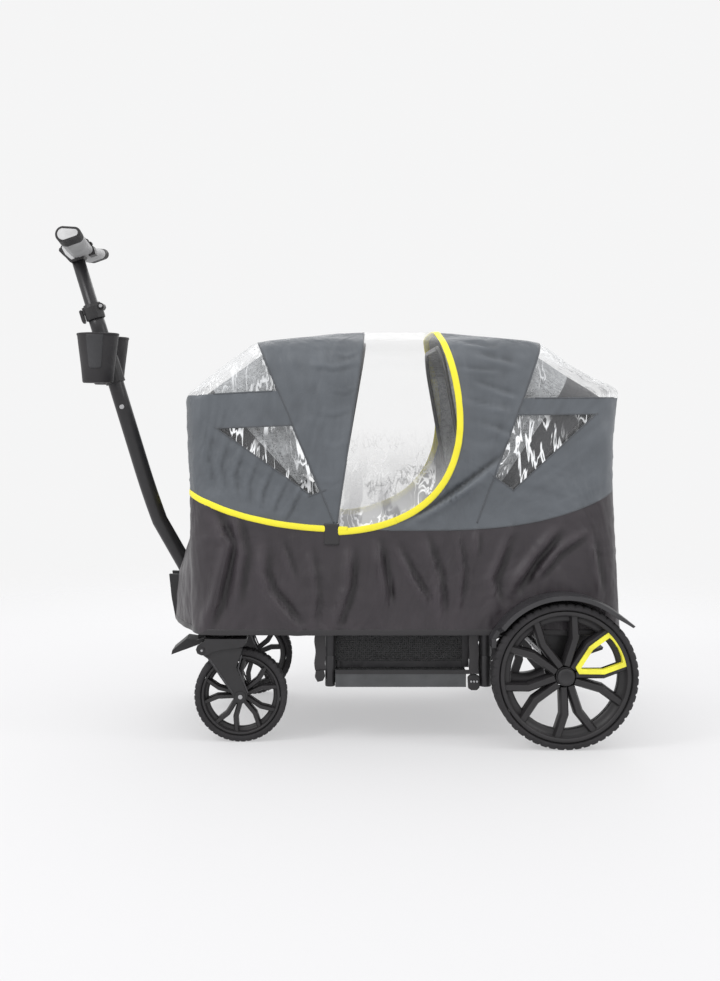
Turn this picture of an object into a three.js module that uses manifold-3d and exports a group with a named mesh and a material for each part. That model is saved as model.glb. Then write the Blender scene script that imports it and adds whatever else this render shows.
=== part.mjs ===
// A pull wagon for two children: a folding-frame wagon with a T handle, cup holders, swivel front
// wheels, large rear wheels under fenders, two fan canopies and a fitted weather cover.
// Units are millimetres. The handle end points to -X, the rear to +X, +Y is across and +Z is up.
import * as THREE from 'three';
import { mergeVertices } from 'three/addons/utils/BufferGeometryUtils.js';
import Module from 'manifold-3d';

const wasm = await Module();
wasm.setup();

// ---- driving dimensions ----
const GAP = 0.4;
const REAR_WHEEL = { x: 355, radius: 158.75, y: 292, width: 50, bead: 135, hub: 26 };
const FRONT_WHEEL = { x: -355, radius: 103.5, y: 228, width: 40, bead: 87, hub: 15 };
const CASTER = { x: -396, y: 228, boltX: -440, boltZ: 209, top: 232 };
const AXLE_RADIUS = 10;
const RUNNER = { y: 190, z: 249, radius: 12 };
const RAIL = { x0: -144.5, x1: 146, y0: 232, y1: 250, z0: 123, z1: 160 };
const POST = { frontX: -156, rearX: 190, y: 236, frontRadius: 11, rearRadius: 14, z0: 123, z1: 442 };
const TOP_RAIL = { x0: -450, x1: 458, y: 235, z: 455, radius: 12, chamfer: 52 };
const DECK = { z0: 263, z1: 275, y: 216, front: [-416, -150], rear: [150, 460] };
const LINER = { x0: -417, x1: 463, y: 220, z0: 276, z1: 440, wall: 3 };
const FOOTWELL = { x: 146, y: 224, z0: 128, z1: 262, wall: 3 };
const PIVOT = { x: -461, z: 285 };
const BEND_LOW = { x: -568, z: 472 };
const BEND_HIGH = { x: -604, z: 575 };
const HANDLE_LEAN = THREE.MathUtils.degToRad(17.1);
const LOWER_TUBE = { radius: 19, bore: 16.3, boreFrom: 140, top: 422 };
const UPPER_TUBE = { radius: 15.9, bottom: 230, top: 572 };
const GRIP = { ahead: 23.4, at: 585, halfLength: 185, long: 57, high: 37 };
const CUP = { x: -705, y: 73, z0: 804, z1: 921, top: 50, bottom: 38.5, wall: 2.5 };
const COVER_WALL = 3;
const CANOPY = { radius: 410, corner: 80, tube: 5, wall: 2 };
const FRONT_CANOPY = { x: -147, z: 487, side: -1, angles: [50, 22.8, -9.8] };
const REAR_CANOPY = { x: 166, z: 480, side: 1, angles: [46, 20.7, -10] };
const HOOP_Y = [236, 225, 214];

// ---- cover outline, as heights against half widths and end positions ----
const COVER_FRONT_X = [[243, -462], [300, -466], [420, -471], [566, -472], [769, -482], [830, -410],
  [900, -320], [917, -120]];
const COVER_REAR_X = [[243, 494], [300, 492], [420, 487], [600, 482], [690, 485], [787, 498], [812, 440],
  [840, 392], [900, 320], [917, 110]];
const COVER_HALF_Y = [[243, 264], [400, 258], [500, 254], [700, 248], [800, 240], [850, 229],
  [888, 207], [904, 182], [917, 130]];
const COVER_BOW = [[243, 60], [350, 48], [450, 12], [520, 0], [917, 0]];
const COVER_LEVELS = [243, 350, 450, 520, 690, 769, 787, 812, 830, 850, 888, 904, 917];
const COVER_CORNER = 55;

// ---- colours ----
const FINISH = {
  frame: ['#2d2b2d', 0.45, 0.35],
  plastic: ['#242224', 0.55, 0.0],
  silver: ['#6f7073', 0.4, 0.7],
  rubber: ['#2a282a', 0.9, 0.0],
  shell: ['#646a70', 0.85, 0.0],
  skirt: ['#444044', 0.9, 0.0],
  vinyl: ['#c9d3da', 0.2, 0.0],
  mesh: ['#8f9294', 0.9, 0.0],
  liner: ['#1f1e20', 0.9, 0.0],
  grip: ['#9a9a9c', 0.7, 0.0],
};

const wagon = new THREE.Group();

function finish(name) {
  const [color, roughness, metalness] = FINISH[name];
  return new THREE.MeshStandardMaterial({ color, roughness, metalness });
}

function addPiece(name, solid, look, parent = wagon) {
  const mesh = new THREE.Mesh(geometryOf(solid), finish(look));
  mesh.name = name;
  parent.add(mesh);
  return mesh;
}

// ---- solids ----
function signedVolume(position, index) {
  const a = new THREE.Vector3();
  const b = new THREE.Vector3();
  const c = new THREE.Vector3();
  let volume = 0;
  for (let i = 0; i < index.length; i += 3) {
    a.fromArray(position, index[i] * 3);
    b.fromArray(position, index[i + 1] * 3);
    c.fromArray(position, index[i + 2] * 3);
    volume += a.dot(b.cross(c));
  }
  return volume;
}

function solidOf(geometry) {
  const bare = geometry.clone();
  bare.deleteAttribute('normal');
  bare.deleteAttribute('uv');
  const merged = mergeVertices(bare, 1e-3);
  const index = merged.index.array;
  const faces = [];
  for (let i = 0; i < index.length; i += 3) {
    const [a, b, c] = [index[i], index[i + 1], index[i + 2]];
    if (a !== b && b !== c && c !== a) faces.push(a, b, c);
  }
  const position = merged.getAttribute('position').array;
  if (signedVolume(position, faces) < 0) faces.reverse();
  return new wasm.Manifold(new wasm.Mesh({
    numProp: 3,
    vertProperties: new Float32Array(position),
    triVerts: new Uint32Array(faces),
  }));
}

function geometryOf(solid) {
  const mesh = solid.getMesh();
  const geometry = new THREE.BufferGeometry();
  geometry.setAttribute('position', new THREE.BufferAttribute(new Float32Array(mesh.vertProperties), 3));
  geometry.setIndex(new THREE.BufferAttribute(new Uint32Array(mesh.triVerts), 1));
  geometry.computeVertexNormals();
  return geometry;
}

const unite = (...solids) => solids.reduce((sum, each) => sum.add(each));
const cutFrom = (solid, ...cutters) => cutters.reduce((rest, each) => rest.subtract(each), solid);

function box(x0, x1, y0, y1, z0, z1) {
  const geometry = new THREE.BoxGeometry(x1 - x0, y1 - y0, z1 - z0);
  geometry.translate((x0 + x1) / 2, (y0 + y1) / 2, (z0 + z1) / 2);
  return solidOf(geometry);
}

function rod(from, to, radius, sides = 16, endRadius = radius) {
  const a = new THREE.Vector3(...from);
  const b = new THREE.Vector3(...to);
  const along = b.clone().sub(a);
  const geometry = new THREE.CylinderGeometry(endRadius, radius, along.length(), sides);
  const turn = new THREE.Quaternion().setFromUnitVectors(new THREE.Vector3(0, 1, 0), along.clone().normalize());
  geometry.applyQuaternion(turn);
  geometry.translate(...a.add(b).multiplyScalar(0.5).toArray());
  return solidOf(geometry);
}

// A flat plate: an outline in X and Z, standing from y0 to y1.
function plate(outline, y0, y1) {
  const shape = new THREE.Shape(outline.map(([x, z]) => new THREE.Vector2(x, z)));
  const geometry = new THREE.ExtrudeGeometry(shape, { depth: y1 - y0, bevelEnabled: false });
  geometry.rotateX(Math.PI / 2);
  geometry.translate(0, y1, 0);
  return solidOf(geometry);
}

function disc(x, z, radius, sides = 20) {
  return Array.from({ length: sides }, (_, i) => {
    const turn = (i / sides) * Math.PI * 2;
    return [x + radius * Math.cos(turn), z + radius * Math.sin(turn)];
  });
}

// A body turned about the Y axis from [radius, y] pairs, closed on the axis or on itself.
function turned(profile, sides) {
  const points = profile.map(([r, y]) => new THREE.Vector2(r, y));
  return solidOf(new THREE.LatheGeometry(points, sides));
}

function sweptTube(curve, radius, steps, sides) {
  const section = new THREE.Shape(disc(0, 0, radius, sides).map(([x, y]) => new THREE.Vector2(x, y)));
  return solidOf(new THREE.ExtrudeGeometry(section, { steps, bevelEnabled: false, extrudePath: curve }));
}

function between(table, level) {
  const last = table.length - 1;
  const clamped = THREE.MathUtils.clamp(level, table[0][0], table[last][0]);
  const i = Math.min(table.findIndex(([key]) => key >= clamped), last);
  if (i <= 0) return table[0][1];
  const [[k0, v0], [k1, v1]] = [table[i - 1], table[i]];
  return v0 + ((v1 - v0) * (clamped - k0)) / (k1 - k0);
}

// Rings of points, joined to a closed body with a flat cap at each end.
function lofted(rings) {
  const count = rings[0].length;
  const position = rings.flat(2);
  const index = [];
  const at = (ring, i) => ring * count + (i % count);
  for (let r = 0; r < rings.length - 1; r += 1) {
    for (let i = 0; i < count; i += 1) {
      index.push(at(r, i), at(r, i + 1), at(r + 1, i + 1), at(r, i), at(r + 1, i + 1), at(r + 1, i));
    }
  }
  const top = rings.length - 1;
  for (let i = 1; i < count - 1; i += 1) {
    index.push(at(0, 0), at(0, i + 1), at(0, i), at(top, 0), at(top, i), at(top, i + 1));
  }
  const geometry = new THREE.BufferGeometry();
  geometry.setAttribute('position', new THREE.BufferAttribute(new Float32Array(position), 3));
  geometry.setIndex(index);
  return solidOf(geometry);
}

// ---- under-frame ----
// Two round runners at the height of the seat decks.
function runners(x0, x1) {
  return [-1, 1].map((s) => rod([x0, s * RUNNER.y, RUNNER.z], [x1, s * RUNNER.y, RUNNER.z], RUNNER.radius, 10));
}

function crossTube(x) {
  return rod([x, -RUNNER.y, RUNNER.z], [x, RUNNER.y, RUNNER.z], RUNNER.radius - 1, 10);
}

function addUnderFrame() {
  const stemHoles = [-1, 1].map((s) => rod([CASTER.x, s * CASTER.y, 230], [CASTER.x, s * CASTER.y, 270], 8.6, 12));
  const beam = box(CASTER.x - 24, CASTER.x + 24, -248, 248, 237, 262);
  const front = unite(beam, ...runners(CASTER.x + 20, -152), crossTube(-170));
  addPiece('front_frame', cutFrom(front, ...stemHoles), 'frame');

  const { x, radius } = REAR_WHEEL;
  const carriers = [-1, 1].flatMap((s) => [
    plate([[x - 55, 262], [x + 85, 262], [x + 30, 140], [x, 128], [x - 30, 140]], 243 * s - 5, 243 * s + 5),
    box(x - 20, x + 70, Math.min(s * RUNNER.y, s * 240), Math.max(s * RUNNER.y, s * 240), 245, 262),
    rod([x, s * 230, radius], [x, s * 256, radius], 22, 12),
  ]);
  const brakeEar = plate([[428, 262], [462, 262], [448, 172], [434, 172]], -8, 8);
  const axleHole = rod([x, -300, radius], [x, 300, radius], AXLE_RADIUS + GAP);
  const rear = unite(...runners(152, 462), crossTube(165), crossTube(450), brakeEar, ...carriers);
  addPiece('rear_frame', cutFrom(rear, axleHole), 'frame');
  addPiece('rear_axle', rod([x, -296, radius], [x, 296, radius], AXLE_RADIUS), 'silver');
}

function addSides() {
  for (const [side, s] of [['near', -1], ['far', 1]]) {
    const [low, high] = [Math.min(s * RAIL.y0, s * RAIL.y1), Math.max(s * RAIL.y0, s * RAIL.y1)];
    addPiece(`lower_rail_${side}`, box(RAIL.x0, RAIL.x1, low, high, RAIL.z0, RAIL.z1), 'silver');
    addPiece(`front_post_${side}`, rod([POST.frontX, s * POST.y, POST.z0], [POST.frontX, s * POST.y, POST.z1],
      POST.frontRadius), 'frame');
    addPiece(`rear_post_${side}`, rod([POST.rearX, s * POST.y, POST.z0], [POST.rearX, s * POST.y, POST.z1],
      POST.rearRadius), 'frame');
  }
}

function addTopRail() {
  const { x0, x1, y, z, radius, chamfer } = TOP_RAIL;
  const corners = [[x0, y - chamfer], [x0 + chamfer, y], [x1 - chamfer, y], [x1, y - chamfer],
    [x1, chamfer - y], [x1 - chamfer, -y], [x0 + chamfer, -y], [x0, chamfer - y]];
  const runs = corners.map(([ax, ay], i) => {
    const [bx, by] = corners[(i + 1) % corners.length];
    return rod([ax, ay, z], [bx, by, z], radius, 8);
  });
  const pivots = [FRONT_CANOPY, REAR_CANOPY].flatMap((canopy) => [-1, 1].map((s) => {
    const y0 = s > 0 ? 232 : -246;
    return box(canopy.x - 13, canopy.x + 13, y0, y0 + 14, z, canopy.z + 14);
  }));
  addPiece('top_rail', unite(...runs, ...pivots), 'frame');
}

function openBox(x0, x1, y, z0, z1, wall) {
  return cutFrom(box(x0, x1, -y, y, z0, z1), box(x0 + wall, x1 - wall, wall - y, y - wall, z0 + wall, z1 + 20));
}

function addBasket() {
  const { x, y, z0, z1, wall } = FOOTWELL;
  addPiece('footwell_tray', openBox(-x, x, y, z0, z1, wall), 'liner');
  addPiece('front_seat_deck', box(...DECK.front, -DECK.y, DECK.y, DECK.z0, DECK.z1), 'liner');
  addPiece('rear_seat_deck', box(...DECK.rear, -DECK.y, DECK.y, DECK.z0, DECK.z1), 'liner');
  const liner = openBox(LINER.x0, LINER.x1, LINER.y, LINER.z0, LINER.z1, LINER.wall);
  const floorHole = box(-x + wall, x - wall, wall - LINER.y, LINER.y - wall, LINER.z0 - 10, LINER.z0 + 10);
  addPiece('basket_liner', cutFrom(liner, floorHole), 'liner');
}

function addFenders() {
  const from = THREE.MathUtils.degToRad(154);
  const to = THREE.MathUtils.degToRad(44);
  const steps = 14;
  const arc = (radius) => Array.from({ length: steps + 1 }, (_, i) => {
    const turn = from + ((to - from) * i) / steps;
    return [REAR_WHEEL.x + radius * Math.cos(turn), REAR_WHEEL.radius + radius * Math.sin(turn)];
  });
  const outline = [...arc(178), [506, 268], [502, 264], ...arc(171).reverse()];
  for (const [side, s] of [['near', -1], ['far', 1]]) {
    const shell = plate(outline, s > 0 ? 268 : -325, s > 0 ? 325 : -268);
    const stay = box(196, 206, s > 0 ? 251 : -300, s > 0 ? 300 : -251, 218, 241);
    const post = rod([POST.rearX, s * POST.y, 100], [POST.rearX, s * POST.y, 300], POST.rearRadius + GAP);
    addPiece(`rear_fender_${side}`, cutFrom(unite(shell, stay), post), 'plastic');
  }
}

// ---- handle ----
function addYoke() {
  const cheek = [[-420.5, 238], [-420.5, 300], [-480, 344], [-541, 346], [-535, 290], [-525, 238]];
  const cheeks = [plate(cheek, -36, -26), plate(cheek, 26, 36)];
  const base = box(-436, -420.5, -36, 36, 238, 266);
  const pedalStem = box(-468, -452, -8, 8, 203, 246);
  const stemRib = box(-468, -421, -36, 36, 238, 246);
  const hole = rod([PIVOT.x, -50, PIVOT.z], [PIVOT.x, 50, PIVOT.z], 6.4);
  const pedalHole = rod([-460, -20, 212], [-460, 20, 212], 4.4, 12);
  addPiece('handle_yoke', cutFrom(unite(...cheeks, base, stemRib, pedalStem), hole, pedalHole), 'plastic');
  addPiece('handle_pivot_pin', rod([PIVOT.x, -40, PIVOT.z], [PIVOT.x, 40, PIVOT.z], 6), 'silver');

  const blade = [[-536, 152], [-470, 176], [-448, 190], [-446, 200], [-474, 186], [-500, 190], [-534, 162]];
  const ears = [[-474, 184], [-446, 196], [-446, 214], [-460, 222], [-472, 214]];
  const pedal = unite(plate(blade, -34, 34), plate(ears, -15, -9), plate(ears, 9, 15));
  const pin = rod([-460, -15, 212], [-460, 15, 212], 4, 12);
  addPiece('lock_pedal', unite(pedal, pin), 'plastic');
}

const handle = new THREE.Group();
handle.position.set(BEND_HIGH.x, 0, BEND_HIGH.z);
handle.rotation.y = -HANDLE_LEAN;
handle.updateMatrixWorld();
wagon.add(handle);

function lowerTube() {
  const local = ({ x, z }) => handle.worldToLocal(new THREE.Vector3(x, 0, z));
  const [foot, low] = [local(PIVOT), local(BEND_LOW)];
  const high = new THREE.Vector3(0, 0, 30);
  const knee = new THREE.Vector3(0, 0, low.z * 0.42);
  const path = new THREE.CurvePath();
  path.add(new THREE.LineCurve3(foot, low));
  path.add(new THREE.QuadraticBezierCurve3(low, knee, high));
  path.add(new THREE.LineCurve3(high, new THREE.Vector3(0, 0, LOWER_TUBE.top)));
  const tube = sweptTube(path, LOWER_TUBE.radius, 16, 14);
  const eye = rod([foot.x, -24, foot.z], [foot.x, 24, foot.z], 22, 16);
  const bore = rod([0, 0, LOWER_TUBE.boreFrom], [0, 0, LOWER_TUBE.top + 5], LOWER_TUBE.bore);
  const pinHole = rod([foot.x, -30, foot.z], [foot.x, 30, foot.z], 6.4);
  const buttonHole = rod([0, -30, 181], [0, -10, 181], 6.5, 12);
  return cutFrom(unite(tube, eye), bore, pinHole, buttonHole);
}

// A body turned about the handle's own axis from [radius, height] pairs.
function turnedUpright(profile, sides) {
  const points = profile.map(([r, z]) => new THREE.Vector2(r, z));
  const geometry = new THREE.LatheGeometry(points, sides);
  geometry.rotateX(Math.PI / 2);
  return solidOf(geometry);
}

function addHandle() {
  addPiece('handle_lower_tube', lowerTube(), 'frame', handle);
  const collar = turnedUpright([[19.4, 404], [23, 404], [23.5, 408], [23.5, 434], [21, 442], [16.5, 442],
    [16.5, 423], [19.4, 423], [19.4, 404]], 14);
  const boltBoss = rod([20, -14, 429], [20, 14, 429], 9.5, 12);
  const leverBoss = box(-25, -18, -9, 9, 422, 438);
  const collarBore = unite(rod([0, 0, 400], [0, 0, 423], 19.4, 14), rod([0, 0, 422], [0, 0, 460], 16.5, 14));
  addPiece('clamp_collar', cutFrom(unite(collar, boltBoss, leverBoss), collarBore), 'plastic', handle);

  const lever = plate([[-33.6, 431], [-32.4, 433.8], [-29.6, 435], [-26.8, 433.8], [-25.6, 431], [-25.6, 408],
    [-28, 402], [-32, 402], [-33.6, 408]], -10, 10);
  addPiece('clamp_lever', lever, 'plastic', handle);
  addPiece('detent_button', rod([0, -22, 181], [0, -16.6, 181], 6, 12), 'silver', handle);

  addPiece('handle_upper_tube', rod([0, 0, UPPER_TUBE.bottom], [0, 0, UPPER_TUBE.top], UPPER_TUBE.radius),
    'frame', handle);
  const oval = disc(0, 0, 1, 20).map(([x, z]) => [GRIP.ahead + x * (GRIP.long / 2), GRIP.at + z * (GRIP.high / 2)]);
  const bar = plate(oval, -GRIP.halfLength, GRIP.halfLength);
  const hub = plate([[-19, 550], [19, 550], [44, 568], [48, 588], [-2, 592], [-20, 572]], -24, 24);
  const socket = rod([0, 0, 540], [0, 0, UPPER_TUBE.top + GAP], UPPER_TUBE.radius + GAP);
  const triggerPocket = box(26, 60, -15.5, 15.5, 540, 574.5);
  addPiece('handle_grip', cutFrom(unite(bar, hub), socket, triggerPocket), 'grip', handle);
  addPiece('grip_trigger', box(30, 47, -15, 15, 553, 574), 'plastic', handle);
}

function addCups() {
  const tubeAt = new THREE.Vector3();
  const tube = [760, 960].map((z) => {
    tubeAt.set(BEND_HIGH.x - (z - BEND_HIGH.z) * Math.tan(HANDLE_LEAN), 0, z);
    return tubeAt.toArray();
  });
  const cupBodies = [-1, 1].map((s) => rod([CUP.x, s * CUP.y, CUP.z0 - 1], [CUP.x, s * CUP.y, CUP.z1 + 1],
    CUP.bottom + GAP, 28, CUP.top + GAP));
  const clamp = rod([tube[0][0] - 14, 0, 806], [tube[0][0] - 33, 0, 866], 24, 20);
  const arm = box(-724, -690, -52, 52, 815, 850);
  const bracket = cutFrom(unite(clamp, arm), rod(tube[0], tube[1], LOWER_TUBE.radius + GAP, 20), ...cupBodies);
  addPiece('cup_holder_bracket', bracket, 'plastic');
  const cupHeight = CUP.z1 - CUP.z0;
  for (const [side, s] of [['near', -1], ['far', 1]]) {
    const cup = turnedUpright([[0, 0], [CUP.bottom, 0], [CUP.top, cupHeight], [CUP.top - CUP.wall, cupHeight],
      [CUP.bottom - CUP.wall, CUP.wall], [0, CUP.wall]], 28);
    addPiece(`cup_holder_${side}`, cup, 'plastic').position.set(CUP.x, s * CUP.y, CUP.z0);
  }
}

// ---- wheels ----
// Five petal-shaped openings, each framed by a pair of bent spokes.
function petalSpokes(radius, width, y0, y1, firstTurn) {
  const point = (share, degrees) => {
    const turn = THREE.MathUtils.degToRad(degrees);
    return new THREE.Vector2(radius * share * Math.cos(turn), radius * share * Math.sin(turn));
  };
  // One spoke: its centre line from root to knee to tip, widened to both sides.
  const spoke = (root, knee, tip) => {
    const across = (from, to) => {
      const side = to.clone().sub(from).normalize().rotateAround(new THREE.Vector2(), Math.PI / 2);
      return side.multiplyScalar(width / 2);
    };
    const offsets = [across(root, knee), across(root, tip), across(knee, tip)];
    const points = [root, knee, tip];
    const left = points.map((p, i) => p.clone().add(offsets[i]));
    const right = points.map((p, i) => p.clone().sub(offsets[i]));
    return plate([...left, ...right.reverse()].map((p) => [p.x, p.y]), y0, y1);
  };
  const spokes = [];
  for (let petal = 0; petal < 5; petal += 1) {
    const middle = firstTurn + petal * 72;
    for (const s of [-1, 1]) {
      spokes.push(spoke(point(0.15, middle), point(0.585, middle + s * 25), point(0.9, middle + s * 16)));
    }
  }
  return unite(...spokes);
}

function rimSolid(size, hubReach, bore, spokeWidth, firstTurn, outSide) {
  const half = size.width / 2;
  const rimInner = size.bead * 0.87;
  const ring = turned([[rimInner, -half * 0.8], [size.bead - GAP, -half * 0.8], [size.bead - GAP, half * 0.8],
    [rimInner, half * 0.8], [rimInner, -half * 0.8]], 28);
  const [inner, outer] = outSide > 0 ? [-0.35, 0.62] : [-0.62, 0.35];
  const spokes = petalSpokes(size.bead, spokeWidth, half * inner, half * outer, firstTurn);
  const hub = rod([0, -hubReach, 0], [0, hubReach, 0], size.hub, 16);
  const core = rod([0, -60, 0], [0, 60, 0], bore, 12);
  return cutFrom(unite(ring, spokes, hub), core);
}

function tyreSolid(size) {
  const half = size.width / 2;
  const { radius, bead } = size;
  return turned([[bead, -half * 0.85], [radius - 8, -half], [radius, -half * 0.7], [radius, half * 0.7],
    [radius - 8, half], [bead, half * 0.85], [bead, -half * 0.85]], 28);
}

function addWheels() {
  for (const [side, s] of [['near', -1], ['far', 1]]) {
    const rear = new THREE.Group();
    rear.position.set(REAR_WHEEL.x, s * REAR_WHEEL.y, REAR_WHEEL.radius);
    wagon.add(rear);
    addPiece(`rear_rim_${side}`, rimSolid(REAR_WHEEL, 17, AXLE_RADIUS + GAP, 9, 28, s), 'plastic', rear);
    addPiece(`rear_tyre_${side}`, tyreSolid(REAR_WHEEL), 'rubber', rear);
    const cap = unite(rod([0, s * 8, 0], [0, s * 22, 0], AXLE_RADIUS - GAP, 16),
      rod([0, s * 20.5, 0], [0, s * 26.5, 0], 19, 24));
    addPiece(`release_button_${side}`, cap, 'plastic', rear);

    const front = new THREE.Group();
    front.position.set(FRONT_WHEEL.x, s * FRONT_WHEEL.y, FRONT_WHEEL.radius);
    wagon.add(front);
    addPiece(`front_rim_${side}`, rimSolid(FRONT_WHEEL, 21, 6.4, 6, 282, s), 'plastic', front);
    addPiece(`front_tyre_${side}`, tyreSolid(FRONT_WHEEL), 'rubber', front);
  }
}

// ---- casters: a swivel bracket over a sprung fork ----
function addCasters() {
  const { boltX, boltZ, top } = CASTER;
  const cheek = [[-453, 209], [-450, 200], [-441, 196], [-429, 196], [-415, 204], [-395, 209], [-364, 212],
    [-350, 214], [-342, 222], [-342, top], [-410, top], [-434, 227], [-450, 217]];
  const leg = [[-452, 210], [-448, 199], [-431, 193], [-373, 108], [-367, 92], [-355, 86], [-343, 92],
    [-339, 108], [-364, 168], [-350, 211], [-395, 213], [-440, 221]];
  for (const [side, s] of [['near', -1], ['far', 1]]) {
    const y = s * CASTER.y;
    const bracket = unite(
      plate(cheek, y - 36, y - 32),
      plate(cheek, y + 32, y + 36),
      box(-434, -342, y - 36, y + 36, 223, top),
      rod([CASTER.x, y, top - 4], [CASTER.x, y, 258], 8, 16),
    );
    addPiece(`caster_bracket_${side}`, bracket, 'plastic');
    const fork = unite(
      plate(leg, y - 31.5, y - 24.5),
      plate(leg, y + 24.5, y + 31.5),
      rod([boltX, y - 28, boltZ], [boltX, y + 28, boltZ], 9, 12),
      rod([FRONT_WHEEL.x, y - 30, FRONT_WHEEL.radius], [FRONT_WHEEL.x, y + 30, FRONT_WHEEL.radius], 6, 12),
    );
    addPiece(`caster_fork_${side}`, fork, 'plastic');
  }
}

function addBrakePedal() {
  const blade = [[430, 150], [452, 150], [498, 166], [500, 172], [452, 160], [430, 160]];
  const ears = [[430, 152], [454, 152], [452, 184], [441, 192], [432, 184]];
  const pedal = unite(plate(blade, -45, 45), plate(ears, -15, -9), plate(ears, 9, 15));
  addPiece('brake_pedal', unite(pedal, rod([441, -8.8, 182], [441, -12, 182], 4, 8)), 'plastic');
}

// ---- canopies ----
// One arch of a hoop in the plane of its own angle: up one side, across and down the other.
function archPoint(share, halfWidth, reach, corner) {
  const straight = reach - corner;
  const turn = (corner * Math.PI) / 2;
  const across = 2 * (halfWidth - corner);
  const total = 2 * straight + 2 * turn + across;
  const run = share * total;
  if (run > total / 2) {
    const [y, r] = archPoint(1 - share, halfWidth, reach, corner);
    return [-y, r];
  }
  if (run <= straight) return [-halfWidth, run];
  if (run <= straight + turn) {
    const angle = (run - straight) / corner;
    return [-halfWidth + corner * (1 - Math.cos(angle)), straight + corner * Math.sin(angle)];
  }
  return [-halfWidth + corner + (run - straight - turn), reach];
}

function canopyPoint(canopy, degrees, y, reach) {
  const turn = THREE.MathUtils.degToRad(degrees);
  return new THREE.Vector3(canopy.x + canopy.side * reach * Math.sin(turn), y, canopy.z + reach * Math.cos(turn));
}

function hoopSolid(canopy, degrees, halfWidth, from) {
  const points = [];
  const count = 22;
  for (let i = 0; i <= count; i += 1) {
    const [y, reach] = archPoint(i / count, halfWidth, CANOPY.radius, CANOPY.corner);
    if (reach >= from) points.push(canopyPoint(canopy, degrees, y, reach));
  }
  return sweptTube(new THREE.CatmullRomCurve3(points), CANOPY.tube, 24, 5);
}

// Fabric from one hoop to the next, widening a little towards the outer hoop.
function fabricSolid(canopy, fromHoop, toHoop) {
  const clear = 3.6;
  const from = canopy.angles[fromHoop] - clear;
  const to = canopy.angles[toHoop] + clear;
  const rings = [];
  const steps = 3;
  const count = 15;
  for (let k = 0; k <= steps; k += 1) {
    const share = k / steps;
    const halfWidth = THREE.MathUtils.lerp(HOOP_Y[fromHoop], HOOP_Y[toHoop], share);
    const ring = [];
    for (const inset of [0, CANOPY.wall]) {
      const skin = [];
      for (let i = 0; i <= count; i += 1) {
        const [y, reach] = archPoint(0.14 + (0.72 * i) / count, halfWidth - inset, CANOPY.radius - inset, CANOPY.corner);
        skin.push(canopyPoint(canopy, THREE.MathUtils.lerp(from, to, share), y, reach).toArray());
      }
      ring.push(...(inset ? skin.reverse() : skin));
    }
    rings.push(ring);
  }
  return stripLoft(rings);
}

// Rings whose outlines are long and thin: the end caps are strips between the two skins.
function stripLoft(rings) {
  const count = rings[0].length;
  const index = [];
  const at = (ring, i) => ring * count + (i % count);
  for (let r = 0; r < rings.length - 1; r += 1) {
    for (let i = 0; i < count; i += 1) {
      index.push(at(r, i), at(r, i + 1), at(r + 1, i + 1), at(r, i), at(r + 1, i + 1), at(r + 1, i));
    }
  }
  const top = rings.length - 1;
  for (let i = 0; i < count / 2 - 1; i += 1) {
    const [a, b, c, d] = [i, i + 1, count - 2 - i, count - 1 - i];
    index.push(at(0, a), at(0, c), at(0, b), at(0, a), at(0, d), at(0, c));
    index.push(at(top, a), at(top, b), at(top, c), at(top, a), at(top, c), at(top, d));
  }
  const geometry = new THREE.BufferGeometry();
  geometry.setAttribute('position', new THREE.BufferAttribute(new Float32Array(rings.flat(2)), 3));
  geometry.setIndex(index);
  return solidOf(geometry);
}

function addCanopy(name, canopy) {
  ['base', 'mid', 'lead'].forEach((hoop, i) => {
    const from = i === 0 ? 60 : 0;
    addPiece(`${name}_${hoop}_hoop`, hoopSolid(canopy, canopy.angles[i], HOOP_Y[i], from), 'frame');
  });
  addPiece(`${name}_back_fabric`, fabricSolid(canopy, 0, 1), 'mesh');
  addPiece(`${name}_lead_fabric`, fabricSolid(canopy, 1, 2), 'mesh');
}

// ---- weather cover ----
function coverRing(z, inset) {
  const front = between(COVER_FRONT_X, z) + inset;
  const rear = between(COVER_REAR_X, z) - inset;
  const half = between(COVER_HALF_Y, z) - inset;
  const bow = between(COVER_BOW, z);
  const corner = COVER_CORNER - inset;
  const level = z === COVER_LEVELS.at(-1) ? z - inset : z;
  const ring = [];
  const addCorner = (x, y, from) => {
    for (let i = 0; i <= 3; i += 1) {
      const turn = from + (i / 3) * (Math.PI / 2);
      ring.push([x + corner * Math.cos(turn), y + corner * Math.sin(turn), level]);
    }
  };
  const addEnd = (x, direction, bulge) => {
    for (let i = 1; i < 6; i += 1) {
      const share = (i / 6) * 2 - 1;
      ring.push([x - bulge * (1 - share * share), direction * share * (half - corner), level]);
    }
  };
  addCorner(rear - corner, half - corner, 0);
  addCorner(front + corner, half - corner, Math.PI / 2);
  addEnd(front, -1, bow);
  addCorner(front + corner, corner - half, Math.PI);
  addCorner(rear - corner, corner - half, Math.PI * 1.5);
  addEnd(rear, 1, 0);
  return ring;
}

function coverShell() {
  const outer = COVER_LEVELS.map((z) => coverRing(z, 0));
  const inner = COVER_LEVELS.map((z) => coverRing(z, COVER_WALL));
  inner.unshift(inner[0].map(([x, y, z]) => [x, y, z - 10]));
  return cutFrom(lofted(outer), lofted(inner));
}

// The height of the waist seam, low in the middle and rising to both ends.
function waistHeight(x) {
  return 472 + 92 * Math.pow(Math.abs(x) / 490, 3.2);
}

function waistLine(lift) {
  const steps = 14;
  return Array.from({ length: steps + 1 }, (_, i) => {
    const x = -600 + (1200 * i) / steps;
    return [x, waistHeight(THREE.MathUtils.clamp(x, -490, 490)) + lift];
  });
}

function fullWidth(outline) {
  return plate(outline, -300, 300);
}

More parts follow.
